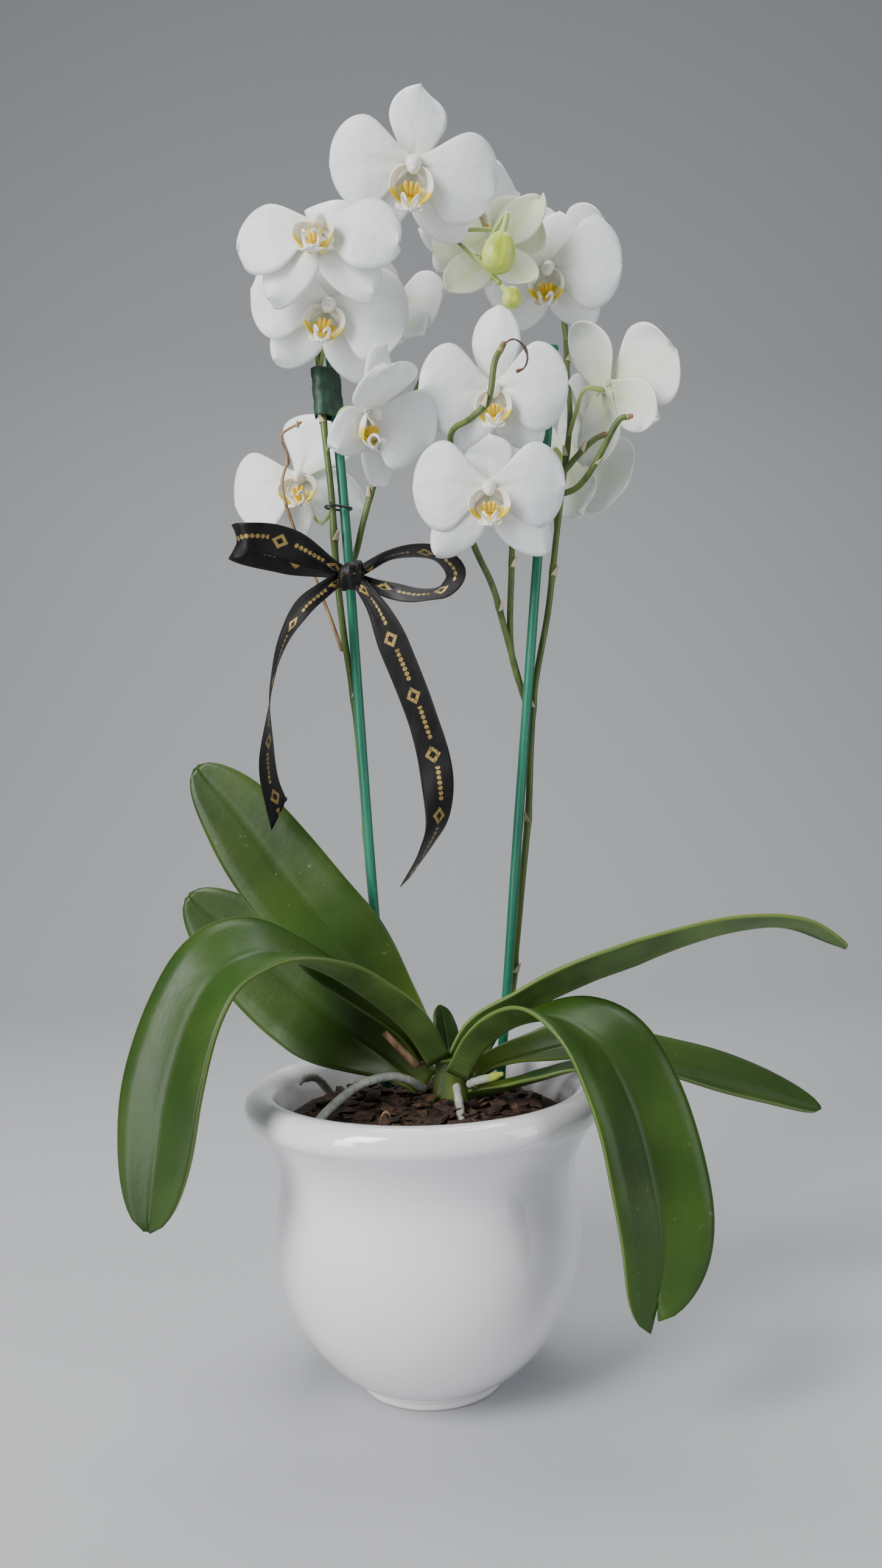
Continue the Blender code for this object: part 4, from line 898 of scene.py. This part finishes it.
def makeStemLook():
    look, field = newLook("stemGreen", stem["green"], 0.42, Coat_Weight=0.1)
    tint = field.grown()[2]
    streak = field.noise(190.0, 4.0, field.place((1, 1, 0.2)))
    freckle = field.noise(900.0, 2.0).between(0.62, 0.7)
    tone = streak.between(0.3, 0.7).mix(rgb(0.055, 0.085, 0.018), rgb(0.125, 0.185, 0.035))
    tone = (streak.between(0.5, 0.75) * 0.35).mix(tone, rgb(*stem["brown"]))
    tone = tint.between(0.0, 0.9).mix(tone, rgb(*stem["pale"]))
    tone = (freckle * 0.25).mix(tone, rgb(0.30, 0.32, 0.14))
    return feed(look, Base_Color=tone, Roughness=0.36 + streak * 0.2, Normal=field.bump(streak, 0.0003))


def growStem(shape, name, bracts):
    points = stems[name]
    thick = stem["radius"] * (1.0 if name in ("left", "right") else 0.80)
    thin = stem["tip"] if name in ("left", "right") else stem["radius"] * 0.70
    places = joints[name]

    def radiusAt(s):
        knob = sum(exp(-((s - at) / 0.010) ** 2) for at in places)
        return (thick + (thin - thick) * s) * (1 + 0.22 * knob)

    count = 150 if name in ("left", "right") else 60
    path = smoothPath(points, count)
    shape.tube(path, radiusAt, 14, lambda s: 0.45 * ease(0.75, 1.0, s) if name == "left" else 0.0)
    for at in places:
        i = round(at * (count - 1))
        ahead = (path[min(i + 1, count - 1)] - path[i - 1]).normalized()
        side = Vector((-1 if i % 2 else 1, -0.6, 0.1))
        side = (side - ahead * side.dot(ahead)).normalized()
        growBract(bracts, path[i], ahead, side, radiusAt(at))


def growBract(bracts, at, ahead, side, radius):
    over = ahead.cross(side)

    def place(s, v):
        turn = v * (1.5 - 1.2 * s)
        out = radius * (1.10 + 0.35 * s * s)
        return at + ahead * (0.0052 * s - 0.0012) + (side * cos(turn) + over * sin(turn)) * out

    bracts.sheet(6, 6, place)


def growStalk(shape, start, end, ahead, via):
    reach = (end - start).length
    back = end - ahead * min(0.014, reach * 0.45)
    between = via or [start.lerp(back, 0.5) + Vector((0, 0, reach * 0.06)), back]
    path = smoothPath([start, *between, end], 22)
    shape.tube(path, lambda s: stem["stalk"] * (0.95 + 0.35 * ease(0.6, 1.0, s)), 12,
               lambda s: 0.35 + 0.65 * ease(0.0, 0.9, s))


def makeStems():
    look = makeStemLook()
    bractLook = makeDryLook("paleBract", (0.34, 0.25, 0.13), (0.74, 0.66, 0.49))
    groups = {"spike_left": ["left", "leftCut"],
              "spike_right": ["right", "front", "middle", "cutLong", "cutShort"]}
    for name, group in groups.items():
        shape, bracts = Shape(), Shape()
        for each in group:
            growStem(shape, each, bracts)
        for flower in flowers:
            branch, share = flower["stalk"]
            if branch in group:
                ahead = (facing(flower["turn"]) @ Vector((0, 0, 1))).normalized()
                end = Vector(flower["at"]) - ahead * 0.002
                via = [Vector(point) for point in flower.get("via", [])]
                growStalk(shape, pathPoint(stems[branch], share), end, ahead, via)
        for key, bud in buds.items():
            branch, share = bud["stalk"]
            if branch in group:
                start = pathPoint(stems[branch], share)
                ahead = Matrix.Rotation(radians(bud["lean"]), 4, "Y") @ Vector((0, 0, 1))
                ahead = -ahead if key == "bud_large" else (Vector(bud["at"]) - start).normalized()
                growStalk(shape, start, Vector(bud["at"]) - ahead * bud["size"][2] * 0.96, ahead, None)
        addPiece(name + "_stem", shape, [look], [name])
        addPiece(name + "_bracts", bracts, [bractLook], (), 0.0003)
    cuts = Shape()
    for name in ("leftCut", "front", "cutLong", "cutShort"):
        path = smoothPath(stems[name], 60)
        radius = stem["radius"] * 0.72
        ahead = (path[-1] - path[-2]).normalized()
        end = path[-1] + ahead * stem["cutEnd"]
        cuts.tube([path[-2], path[-1], end], lambda s: radius * (1.08 - 0.30 * s), 12)
    addPiece("cut_ends", cuts, [dryLook], ())


def makeDryBranch():
    def twig(s):
        lump = max(noise.noise(Vector((s * 30, 0, 0))), 0)
        return dryBranch["radius"] - dryBranch["taper"] * s + dryBranch["lumps"] * lump

    def curl(s):
        swell = tendril["swell"] * exp(-((s - 0.5) / 0.1) ** 2)
        return tendril["radius"] + swell + tendril["tip"] * ease(0.85, 1, s)

    shape = Shape()
    path = smoothPath(dryBranch["spine"], 60)
    shape.tube(path, twig, 8)
    for share, size in dryBranch["knobs"]:
        at = path[round(share * 59)]
        spin = Matrix.Rotation(share * 9, 4, "Z") @ Matrix.Diagonal((size * 0.5, size * 0.45, size, 1.0))
        shape.ball(Matrix.Translation(at) @ spin, 0.0, 6, 8)
    addPiece("dry_branch_twig", shape, [dryLook], ["dry_branch"])
    curled = Shape()
    curled.tube(smoothPath(tendril["spine"], 40), curl, 8)
    addPiece("dry_tendril", curled, [makeDarkDryLook()], ())


def makeDarkDryLook():
    look, field = newLook("darkHusk", (0.05, 0.022, 0.012), 0.7)
    streak = field.noise(400.0, 3.0)
    tone = streak.between(0.35, 0.7).mix(rgb(0.020, 0.010, 0.006), rgb(0.17, 0.075, 0.04))
    return feed(look, Base_Color=tone, Normal=field.bump(streak, 0.0004))


def makeBudLook():
    look, field = newLook("budGreen", (0.36, 0.46, 0.05), 0.38, Subsurface_Weight=0.2,
                          Subsurface_Radius=(0.5, 0.7, 0.1), Subsurface_Scale=0.003)
    along, _, tint = field.grown()
    cloud = field.noise(150.0, 3.0)
    tone = cloud.between(0.3, 0.7).mix(rgb(0.34, 0.46, 0.035), rgb(0.56, 0.63, 0.08))
    tone = (tint * 0.55).mix(tone, rgb(0.60, 0.66, 0.24))
    tone = ((1 - along.between(0.0, 0.35)) * 0.4).mix(tone, rgb(0.24, 0.36, 0.03))
    return feed(look, Base_Color=tone, Roughness=0.32 + cloud * 0.15, Normal=field.bump(cloud, 0.0004))


def makeBuds():
    look = makeBudLook()
    for name, bud in buds.items():
        shape = Shape()
        matrix = Matrix.Translation(bud["at"]) @ Matrix.Rotation(radians(bud["lean"]), 4, "Y")
        size = bud["size"]

        def place(s, v):
            height = -cos(pi * s)
            turn = pi * v
            belly = sin(pi * s) ** 0.85
            seam = min(abs(((turn / (2 * pi) * 3 + 0.2) % 1.0) - 0.5) * 2, 1.0)
            ridge = 1 + 0.07 * (seam - 0.5) * sin(pi * s) - 0.06 * exp(-(seam / 0.10) ** 2)
            slim = 1 - 0.16 * height
            return matrix @ Vector((cos(turn) * belly * ridge * slim * size[0],
                                    sin(turn) * belly * ridge * slim * size[1],
                                    (height + 0.10 * max(-height - 0.7, 0)) * size[2]))

        def seamTint(s, v):
            seam = min(abs(((v / 2 * 3 + 0.2) % 1.0) - 0.5) * 2, 1.0)
            return exp(-((1 - seam) / 0.35) ** 2)

        shape.sheet(28, 48, place, seamTint)
        bmesh.ops.remove_doubles(shape.bm, verts=shape.bm.verts, dist=1e-6)
        bmesh.ops.recalc_face_normals(shape.bm, faces=shape.bm.faces)
        addPiece(name + "_skin", shape, [look], [name])


def makeStakes():
    look = makeStakeLook()
    for name, points in stakes.items():
        shape = Shape()
        shape.tube(smoothPath(points, 60), lambda s: stake["radius"], 20)
        addPiece(name + "_rod", shape, [look], [name])


makeStakes()
makeStems()
makeDryBranch()
makeBuds()
print("orchid: stakes, stems and buds")


# flowers

tepals = {                                  # in units of half the flower's span
    "rightPetal": dict(turn=0, long=1.0, half=0.58, claw=0.15, widest=0.58, lift=0.06, point=0.50, full=1),
    "leftPetal": dict(turn=180, long=1.0, half=0.58, claw=0.15, widest=0.58, lift=0.06, point=0.50, full=-1),
    "dorsal": dict(turn=90, long=0.95, half=0.33, claw=0.40, widest=0.55, lift=-0.02, point=0.55, full=0),
    "leftSepal": dict(turn=231, long=1.0, half=0.33, claw=0.42, widest=0.50, lift=-0.02, point=0.60, full=0),
    "rightSepal": dict(turn=-51, long=1.0, half=0.33, claw=0.42, widest=0.50, lift=-0.02, point=0.60, full=0),
}
tepal = {"rows": 18, "columns": 14, "thickness": 0.0007, "white": (0.83, 0.845, 0.865),
         "shade": (0.70, 0.72, 0.75), "base": (0.70, 0.76, 0.44), "back": (0.68, 0.76, 0.40)}
lip = {"thickness": 0.0006, "white": (0.86, 0.84, 0.76), "yellow": (0.86, 0.66, 0.03),
       "orange": (0.78, 0.43, 0.04), "stripe": (0.36, 0.12, 0.04)}


def tepalPlace(shape, bend, cup, random):
    turn, back, longer = bend
    long = shape["long"] * longer * random.uniform(0.98, 1.02)
    half = shape["half"] * random.uniform(0.97, 1.03)
    rise = sin(radians(cup + random.gauss(0, 1.5)))
    twist = random.gauss(0, 0.05)
    hook = random.uniform(0.02, 0.10)
    phase = random.uniform(0, 6)
    spin = (Matrix.Rotation(radians(shape["turn"] + turn + random.gauss(0, 1.2)), 4, "Z")
            @ Matrix.Rotation(radians(back), 4, "Y"))
    widest, claw, full = shape["widest"], shape["claw"], shape["full"]

    def place(s, v):
        t = 0.35 * s + 0.65 * sin(s * pi / 2)
        if t < widest:
            wide = claw + (1 - claw) * ease(-0.06, 1.0, t / widest)
        else:
            wide = max(1 - ((t - widest) / (1 - widest)) ** 2, 0.0) ** shape["point"]
        wide = max(wide, 0.04) * half
        middleShare = 1 - v * v
        lift = shape["lift"] + rise * t + 0.07 * sin(pi * t) - (0.10 + hook * (full == 0)) * t * t
        lift -= (0.07 if full else 0.11) * v * v * t
        lift -= 0.035 * exp(-(v / 0.12) ** 2) * (1 - t) * (1 if full else 0.5)
        lift += (0.030 if full else 0.014) * sin(5.0 * v + phase + 3 * t) * t * abs(v) ** 1.5
        lift += 0.012 * sin(9 * t + phase) * middleShare * t
        lift += twist * v * t
        sag = 0.10 * full * (t - 0.5) * middleShare * t           # petals swell a little downwards
        keel = 0.020 * exp(-(v / 0.16) ** 2) * t * (1 - t) * (0 if full else 1)
        return spin @ Vector((t * long, v * wide - sag * 0.3, lift + keel))

    return place


def makePetalLooks():
    looks = []
    for name, green in (("petalFront", 0.45), ("petalBack", 1.0)):
        look, field = newLook(name, tepal["white"], 0.46, Subsurface_Weight=0.22,
                              Subsurface_Radius=(1.0, 0.95, 0.85), Subsurface_Scale=0.004,
                              Sheen_Weight=0.08, Specular_IOR_Level=0.35)
        along, across, tint = field.grown()
        cloud = field.noise(70.0, 3.0)
        fan = (across * 22.0 + cloud * 9.0).sin() * 0.5 + 0.5
        veins = fan.between(0.86, 1.0) * cloud.between(0.40, 0.62)
        tone = (cloud.between(0.35, 0.75) * 0.35).mix(rgb(*tepal["white"]), rgb(*tepal["shade"]))
        tone = (veins * 0.10).mix(tone, rgb(0.66, 0.69, 0.66))
        throat = 1 - along.between(0.02, 0.42)
        tone = (throat * green * 0.75).mix(tone, rgb(*tepal["base"]))
        rib = (1 - abs(across).between(0.0, 0.45)) * (1 - along.between(0.3, 1.0))
        tone = (rib * (green - 0.35) * 0.6 + tint * 0.7).mix(tone, rgb(*tepal["back"]))
        grain = field.noise(1300.0, 2.0)
        pucker = field.noise(240.0, 3.0)
        relief = field.bump(veins * 0.15 + grain * 0.20 + pucker * 0.35, 0.00030, field.bump(cloud, 0.0014))
        looks.append(feed(look, Base_Color=tone, Roughness=0.40 + grain * 0.16, Normal=relief))
    return looks


def makeLipLooks():
    look, field = newLook("lipWhite", lip["white"], 0.36, Subsurface_Weight=0.2,
                          Subsurface_Radius=(1.0, 0.85, 0.5), Subsurface_Scale=0.002)
    _, across, tint = field.grown()
    cloud = field.noise(320.0, 3.0)
    warm = (tint + (cloud - 0.5) * 0.30).between(0.22, 0.50)
    tone = warm.mix(rgb(*lip["white"]), rgb(*lip["yellow"]))
    tone = (tint + (cloud - 0.5) * 0.3).between(0.80, 1.0).mix(tone, rgb(*lip["orange"]))
    stripe = (across * 17.0 + cloud * 1.5).sin().between(0.55, 0.95) * tint.between(0.40, 0.60)
    tone = (stripe * (1 - tint.between(0.80, 0.95)) * 0.40).mix(tone, rgb(*lip["stripe"]))
    whole = feed(look, Base_Color=tone, Roughness=0.30 + cloud * 0.15, Normal=field.bump(cloud, 0.0002))
    cap, field = newLook("antherCap", (0.86, 0.74, 0.66), 0.35)
    spot = field.noise(500.0, 2.0)
    tone = spot.between(0.4, 0.7).mix(rgb(0.88, 0.84, 0.76), rgb(0.82, 0.66, 0.52))
    return [whole, feed(cap, Base_Color=tone)]


def makeTepals(number, flower, matrix, looks):
    random = Random(number * 17)
    shape = Shape()
    for name, each in tepals.items():
        petal = "Petal" in name
        cup = flower["cup"] * (1.0 if petal else 0.4)
        each = dict(each, half=each["half"] * (flower.get("wide", 1.0) if petal else 1.0))
        local = tepalPlace(each, flower.get("bend", {}).get(name, (0, 0, 1.0)), cup, random)
        shape.sheet(tepal["rows"], tepal["columns"], lambda s, v: matrix @ local(s, v),
                    flower.get("green", 0.0))
    addPiece(f"flower_{number:02d}_petals", shape, looks, [f"flower_{number:02d}_tepals"],
             tepal["thickness"], 1)


def makeLip(number, flower, matrix, looks):
    random = Random(number * 29)
    shape = Shape()
    deep = random.uniform(0.95, 1.05)
    opened = random.uniform(0.92, 1.08)

    def sideLobe(sign):                     # from the lip's foot round the column: together a ring
        def place(s, v):
            w = (v + 1) / 2
            turn = radians(-82 + 160 * s)
            ring = (0.165 + 0.075 * w) * opened
            x = sign * (0.020 + ring * max(cos(turn), 0.0) ** 0.85)
            y = -0.235 + 0.205 * sin(turn) * (0.86 + 0.14 * w)
            z = 0.10 + 0.17 * w * (0.55 + 0.45 * sin(pi * min(s * 1.1, 1.0))) + 0.05 * sin(pi * s)
            return matrix @ Vector((x, y, z * deep))
        return place

    for sign in (-1, 1):
        shape.sheet(16, 8, sideLobe(sign), lambda s, v: 0.66 * (1 - ease(0.30, 0.55, s)) * ease(-1.6, 0.2, v))

    def bowl(s, v):                         # the lip's floor, where the side lobes and mid lobe meet
        reach = 0.02 + 0.165 * s
        x = reach * sin(radians(88 * v)) * 1.05
        y = -0.245 - reach * cos(radians(88 * v))
        return matrix @ Vector((x, y, (0.105 + 0.07 * s * s) * deep))

    shape.sheet(8, 12, bowl, lambda s, v: 0.62 - 0.30 * s)

    def midLobe(s, v):
        wide = 0.060 + 0.105 * sin(pi * min(s * 1.15, 1.0)) ** 1.2
        wide *= 1 - 0.70 * ease(0.72, 1.0, s)
        y = -0.345 - 0.165 * sin(1.9 * s)
        z = 0.13 + 0.22 * s + 0.05 * v * v * sin(pi * s)
        return matrix @ Vector((v * wide, y, z * deep))

    shape.sheet(14, 8, midLobe, lambda s, v: 0.50 * (1 - ease(0.20, 0.55, s)))
    for sign in (-1, 1):                    # the two curled tendrils at the lip's tip
        turns = [i * 4.6 / 12 for i in range(13)]
        curl = [Vector((sign * (0.012 + 0.080 * sin(0.62 * a)), -0.500 + 0.078 * (1 - cos(a)),
                        0.345 - 0.070 * sin(a) + 0.010 * a)) for a in turns]
        shape.tube([matrix @ point for point in smoothPath(curl, 22)],
                   lambda s: (0.021 - 0.012 * s) * flower["span"] / 2, 8, 0.18)
    for x, lean in ((0, 0), (-0.052, 16), (0.052, -16)):           # the callus
        crest = (Matrix.Translation((x, -0.275, 0.215)) @ Matrix.Rotation(radians(lean), 4, "Z")
                 @ Matrix.Rotation(radians(-52), 4, "X"))
        shape.ball(matrix @ crest @ Matrix.Diagonal((0.026, 0.028, 0.085, 1.0)), 0.9, 8, 10)
    column = [(0, -0.01, 0.0), (0, 0.0, 0.08), (0, -0.02, 0.16), (0, -0.05, 0.225)]
    shape.tube([matrix @ point for point in smoothPath(column, 12)],
               lambda s: (0.062 + 0.018 * sin(pi * s) + 0.012 * s) * flower["span"] / 2, 14, 0.0)
    shape.look = 1
    cap = Matrix.Translation((0, -0.068, 0.228)) @ Matrix.Diagonal((0.056, 0.060, 0.055, 1.0))
    shape.ball(matrix @ cap, 0.0, 8, 12)
    addPiece(f"flower_{number:02d}_throat", shape, looks, [f"flower_{number:02d}_lip"],
             lip["thickness"])


def makeFlowers():
    petalLooks = makePetalLooks()
    lipLooks = makeLipLooks()
    for number, flower in enumerate(flowers, 1):
        matrix = (Matrix.Translation(flower["at"]) @ facing(flower["turn"])
                  @ Matrix.Scale(flower["span"] / 2, 4))
        makeTepals(number, flower, matrix, petalLooks)
        makeLip(number, flower, matrix, lipLooks)


makeFlowers()
print("orchid: flowers")


# ties, tape and ribbon

ties = {"wire_tie_left": 0.4335, "wire_tie_right": 0.4950}
tie = {"radius": 0.0006, "slack": 0.0045}
tape = {"bottom": 0.4790, "top": 0.5040, "green": (0.012, 0.045, 0.026)}
ribbons = {
    "ribbon_loop_left": dict(
        spine=[(-0.0345, -0.0020, 0.3985), (-0.047, -0.006, 0.4050), (-0.064, -0.016, 0.4115),
               (-0.078, -0.022, 0.4120), (-0.0845, -0.016, 0.4105), (-0.078, -0.006, 0.4085),
               (-0.063, -0.001, 0.4060), (-0.048, 0.001, 0.4020), (-0.0350, 0.0000, 0.3980)],
        across=[(0.1, -0.5, 0.9), (0.25, -0.60, 0.85), (0.1, -0.3, 0.9)], held="gathered"),
    "ribbon_loop_right": dict(
        spine=[(-0.0255, -0.0040, 0.3975), (-0.012, -0.008, 0.4035), (0.002, -0.011, 0.4055),
               (0.014, -0.013, 0.4025), (0.0210, -0.013, 0.3940), (0.0150, -0.011, 0.3865),
               (0.002, -0.008, 0.3855), (-0.011, -0.005, 0.3890), (-0.0250, -0.0030, 0.3945)],
        across=[(0.0, -1.0, 0.3), (0.60, -0.80, 0.0), (0.1, -0.45, -1.0)], held="gathered"),
    "ribbon_tail_left": dict(
        spine=[(-0.0345, -0.0050, 0.3945), (-0.043, -0.009, 0.3880), (-0.0535, -0.012, 0.3785),
               (-0.0635, -0.011, 0.3625), (-0.0700, -0.007, 0.3420), (-0.0735, -0.001, 0.3180),
               (-0.0745, 0.007, 0.2980), (-0.0705, 0.013, 0.2790)],
        across=[(0.55, -0.25, -0.8), (0.25, -0.95, 0.1), (-0.6, -0.75, 0.1)], held="hung"),
    "ribbon_tail_right": dict(
        spine=[(-0.0265, -0.0070, 0.3920), (-0.0165, -0.013, 0.3755), (-0.0070, -0.017, 0.3520),
               (0.0035, -0.019, 0.3225), (0.0095, -0.018, 0.2980), (0.0100, -0.015, 0.2750),
               (0.0040, -0.012, 0.2600), (-0.0040, -0.010, 0.2470)],
        across=[(0.8, -0.3, 0.5), (0.90, -0.45, 0.3), (0.2, 0.95, 0.1)], held="hung"),
}
ribbon = {"width": 0.016, "thickness": 0.0003, "pinch": 0.45, "black": (0.008, 0.007, 0.007),
          "gold": (0.46, 0.33, 0.11), "repeat": 0.030}
knot = {"at": (-0.0300, -0.0045, 0.3960), "size": (0.0064, 0.0054, 0.0068), "tilt": 0.0012}


def atHeight(points, height):
    return min(smoothPath(points, 401), key=lambda point: abs(point.z - height))


def ovalRound(first, second, height, radius, count):
    middle = (first + second) / 2
    along = Vector((second.x - first.x, second.y - first.y, 0.0))
    half = along.length / 2
    along.normalize()
    side = Vector((-along.y, along.x, 0.0))
    points = []
    for i in range(count):
        turn = 2 * pi * i / count
        reach = cos(turn) * radius + (half if cos(turn) > 0 else -half)
        points.append(Vector((middle.x, middle.y, height)) + along * reach + side * sin(turn) * radius)
    return points


def makeTies():
    look, field = newLook("wireTie", (0.02, 0.02, 0.022), 0.4)
    feed(look, Normal=field.bump(field.noise(700.0, 2.0), 0.0002))
    for name, height in ties.items():
        first = atHeight(stakes["stake_left" if "left" in name else "stake_right"], height)
        second = atHeight(stems["left"], height) if "left" in name else first + Vector((tie["slack"], 0, 0))
        ring = ovalRound(first, second, height, stake["radius"] + tie["radius"] + 0.0006, 48)
        shape = Shape()
        shape.tube(ring, lambda s: tie["radius"], 10, closed=True)
        front = min(ring, key=lambda point: point.y)
        twist = [front + Vector((0.0012 * sin(3 * a), -0.0012 * a, 0.0010 * cos(3 * a))) for a in range(4)]
        shape.tube(smoothPath(twist, 16), lambda s: tie["radius"] * 0.8, 8)
        addPiece(name + "_wire", shape, [look], [name])


def makeTape():
    look, field = newLook("tapeGreen", tape["green"], 0.5)
    crease = field.noise(240.0, 4.0, field.place((1, 1, 0.5)))
    tone = crease.between(0.3, 0.7).mix(rgb(0.008, 0.026, 0.016), rgb(0.02, 0.075, 0.042))
    feed(look, Base_Color=tone, Roughness=0.4 + crease * 0.3, Normal=field.bump(crease, 0.0010))
    shape = Shape()
    rows, count = 26, 48

    def place(s, v):
        height = tape["bottom"] + (tape["top"] - tape["bottom"]) * s
        first, second = atHeight(stakes["stake_left"], height), atHeight(stems["left"], height)
        ring = ovalRound(first, second, height, stake["radius"] + 0.0013, count)
        spot = ring[round((v + 1) / 2 * count) % count].copy()
        ragged = (1 - ease(0.0, 0.15, s)) * 0.0022 * noise.noise(Vector((v * 6, 0, 3)))
        spot.z += ragged
        wrap = 0.0003 * (((s * 2.5 + v * 0.5) % 1.0) > 0.5)
        return spot + (spot - (first + second) / 2).normalized() * wrap

    shape.sheet(rows, count, place)
    bmesh.ops.remove_doubles(shape.bm, verts=shape.bm.verts, dist=1e-6)
    addPiece("tape_wrap_film", shape, [look], ["tape_wrap"], 0.0004)


def makeRibbonLook():
    look, field = newLook("satinRibbon", ribbon["black"], 0.36, Sheen_Weight=0.02, Sheen_Roughness=0.3,
                          Specular_IOR_Level=0.26)
    _, across, tint = field.grown()
    run = (tint / ribbon["repeat"]).maths("FRACT", tint / ribbon["repeat"])
    diamond = (abs(run - 0.16) * 6.5 + abs(across) * 1.9).between(1.0, 0.9)
    heart = (abs(run - 0.16) * 14.0 + abs(across) * 4.2).between(0.9, 1.0)
    dots = ((run * 12.0).maths("FRACT", run * 12.0) - 0.5) * 0.9
    spot = (dots * dots + (across - 0.12) * (across - 0.12) * 6.0).between(0.16, 0.12)
    spot = spot * run.between(0.35, 0.37) * run.between(0.93, 0.91)
    printed = (diamond * heart).maths("MAXIMUM", diamond * heart, spot)
    worn = field.noise(900.0, 3.0).between(0.30, 0.5)
    mask = printed * worn
    weave = (across * 150.0).sin() * 0.5 + 0.5
    sheenTone = field.noise(300.0, 3.0, field.place((1, 1, 0.3)))
    tone = sheenTone.between(0.3, 0.7).mix(rgb(0.004, 0.0035, 0.004), rgb(0.011, 0.009, 0.010))
    return feed(look, Base_Color=mask.mix(tone, rgb(*ribbon["gold"])), Metallic=mask * 0.75,
                Roughness=0.30 + sheenTone * 0.14, Normal=field.bump(weave * 0.5 + sheenTone, 0.00015))


def makeRibbons():
    look = makeRibbonLook()
    for seed, (name, each) in enumerate(ribbons.items()):
        rows = 90
        frames = leafFrames(each, rows)
        length = pathLength(each["spine"])

        def place(s, v):
            at, side, up = frames[round(s * rows)]
            grown = ease(0.0, 0.25, s)
            if "loop" in name:
                grown = min(grown, ease(0.0, 0.25, 1 - s))
            half = ribbon["width"] / 2 * (ribbon["pinch"] + (1 - ribbon["pinch"]) * grown)
            pleat = 0.0012 * (1 - grown) * cos(v * 6.5)
            wave = 0.0008 * noise.noise(Vector((s * 6, v * 0.7, seed)))
            slant = 0.006 * v * ease(0.97, 1.0, s) if "tail" in name else 0.0
            ahead = side.cross(up)
            return at + side * v * half + up * (pleat + wave + 0.0007 * v * v) + ahead * slant

        shape = Shape()
        shape.sheet(rows, 12, place, lambda s, v: s * length)
        strip = addPiece(name + "_satin", shape, [look], [name], ribbon["thickness"])
    shape = Shape()
    at, size = Vector(knot["at"]), knot["size"]

    def knotPlace(s, v):                    # a short length of ribbon bound over the pinched middle
        turn, run = pi * v, 2 * s - 1
        fold = 0.95 + 0.06 * cos(run * 7 + sin(turn) * 1.2) + 0.05 * sin(turn * 3 + run * 2)
        fold *= max(1 - abs(run) ** 5, 0.0) ** 0.5
        return at + Vector((run * size[0], cos(turn) * size[1] * fold,
                            sin(turn) * size[2] * fold + run * knot["tilt"]))

    shape.sheet(30, 44, knotPlace, lambda s, v: 0.023 + 0.01 * v)
    bmesh.ops.remove_doubles(shape.bm, verts=shape.bm.verts, dist=1e-6)
    addPiece("ribbon_knot_folds", shape, [look], ["ribbon_knot"], 0.0006)


makeTies()
makeTape()
makeRibbons()
print("orchid: ties and ribbon")
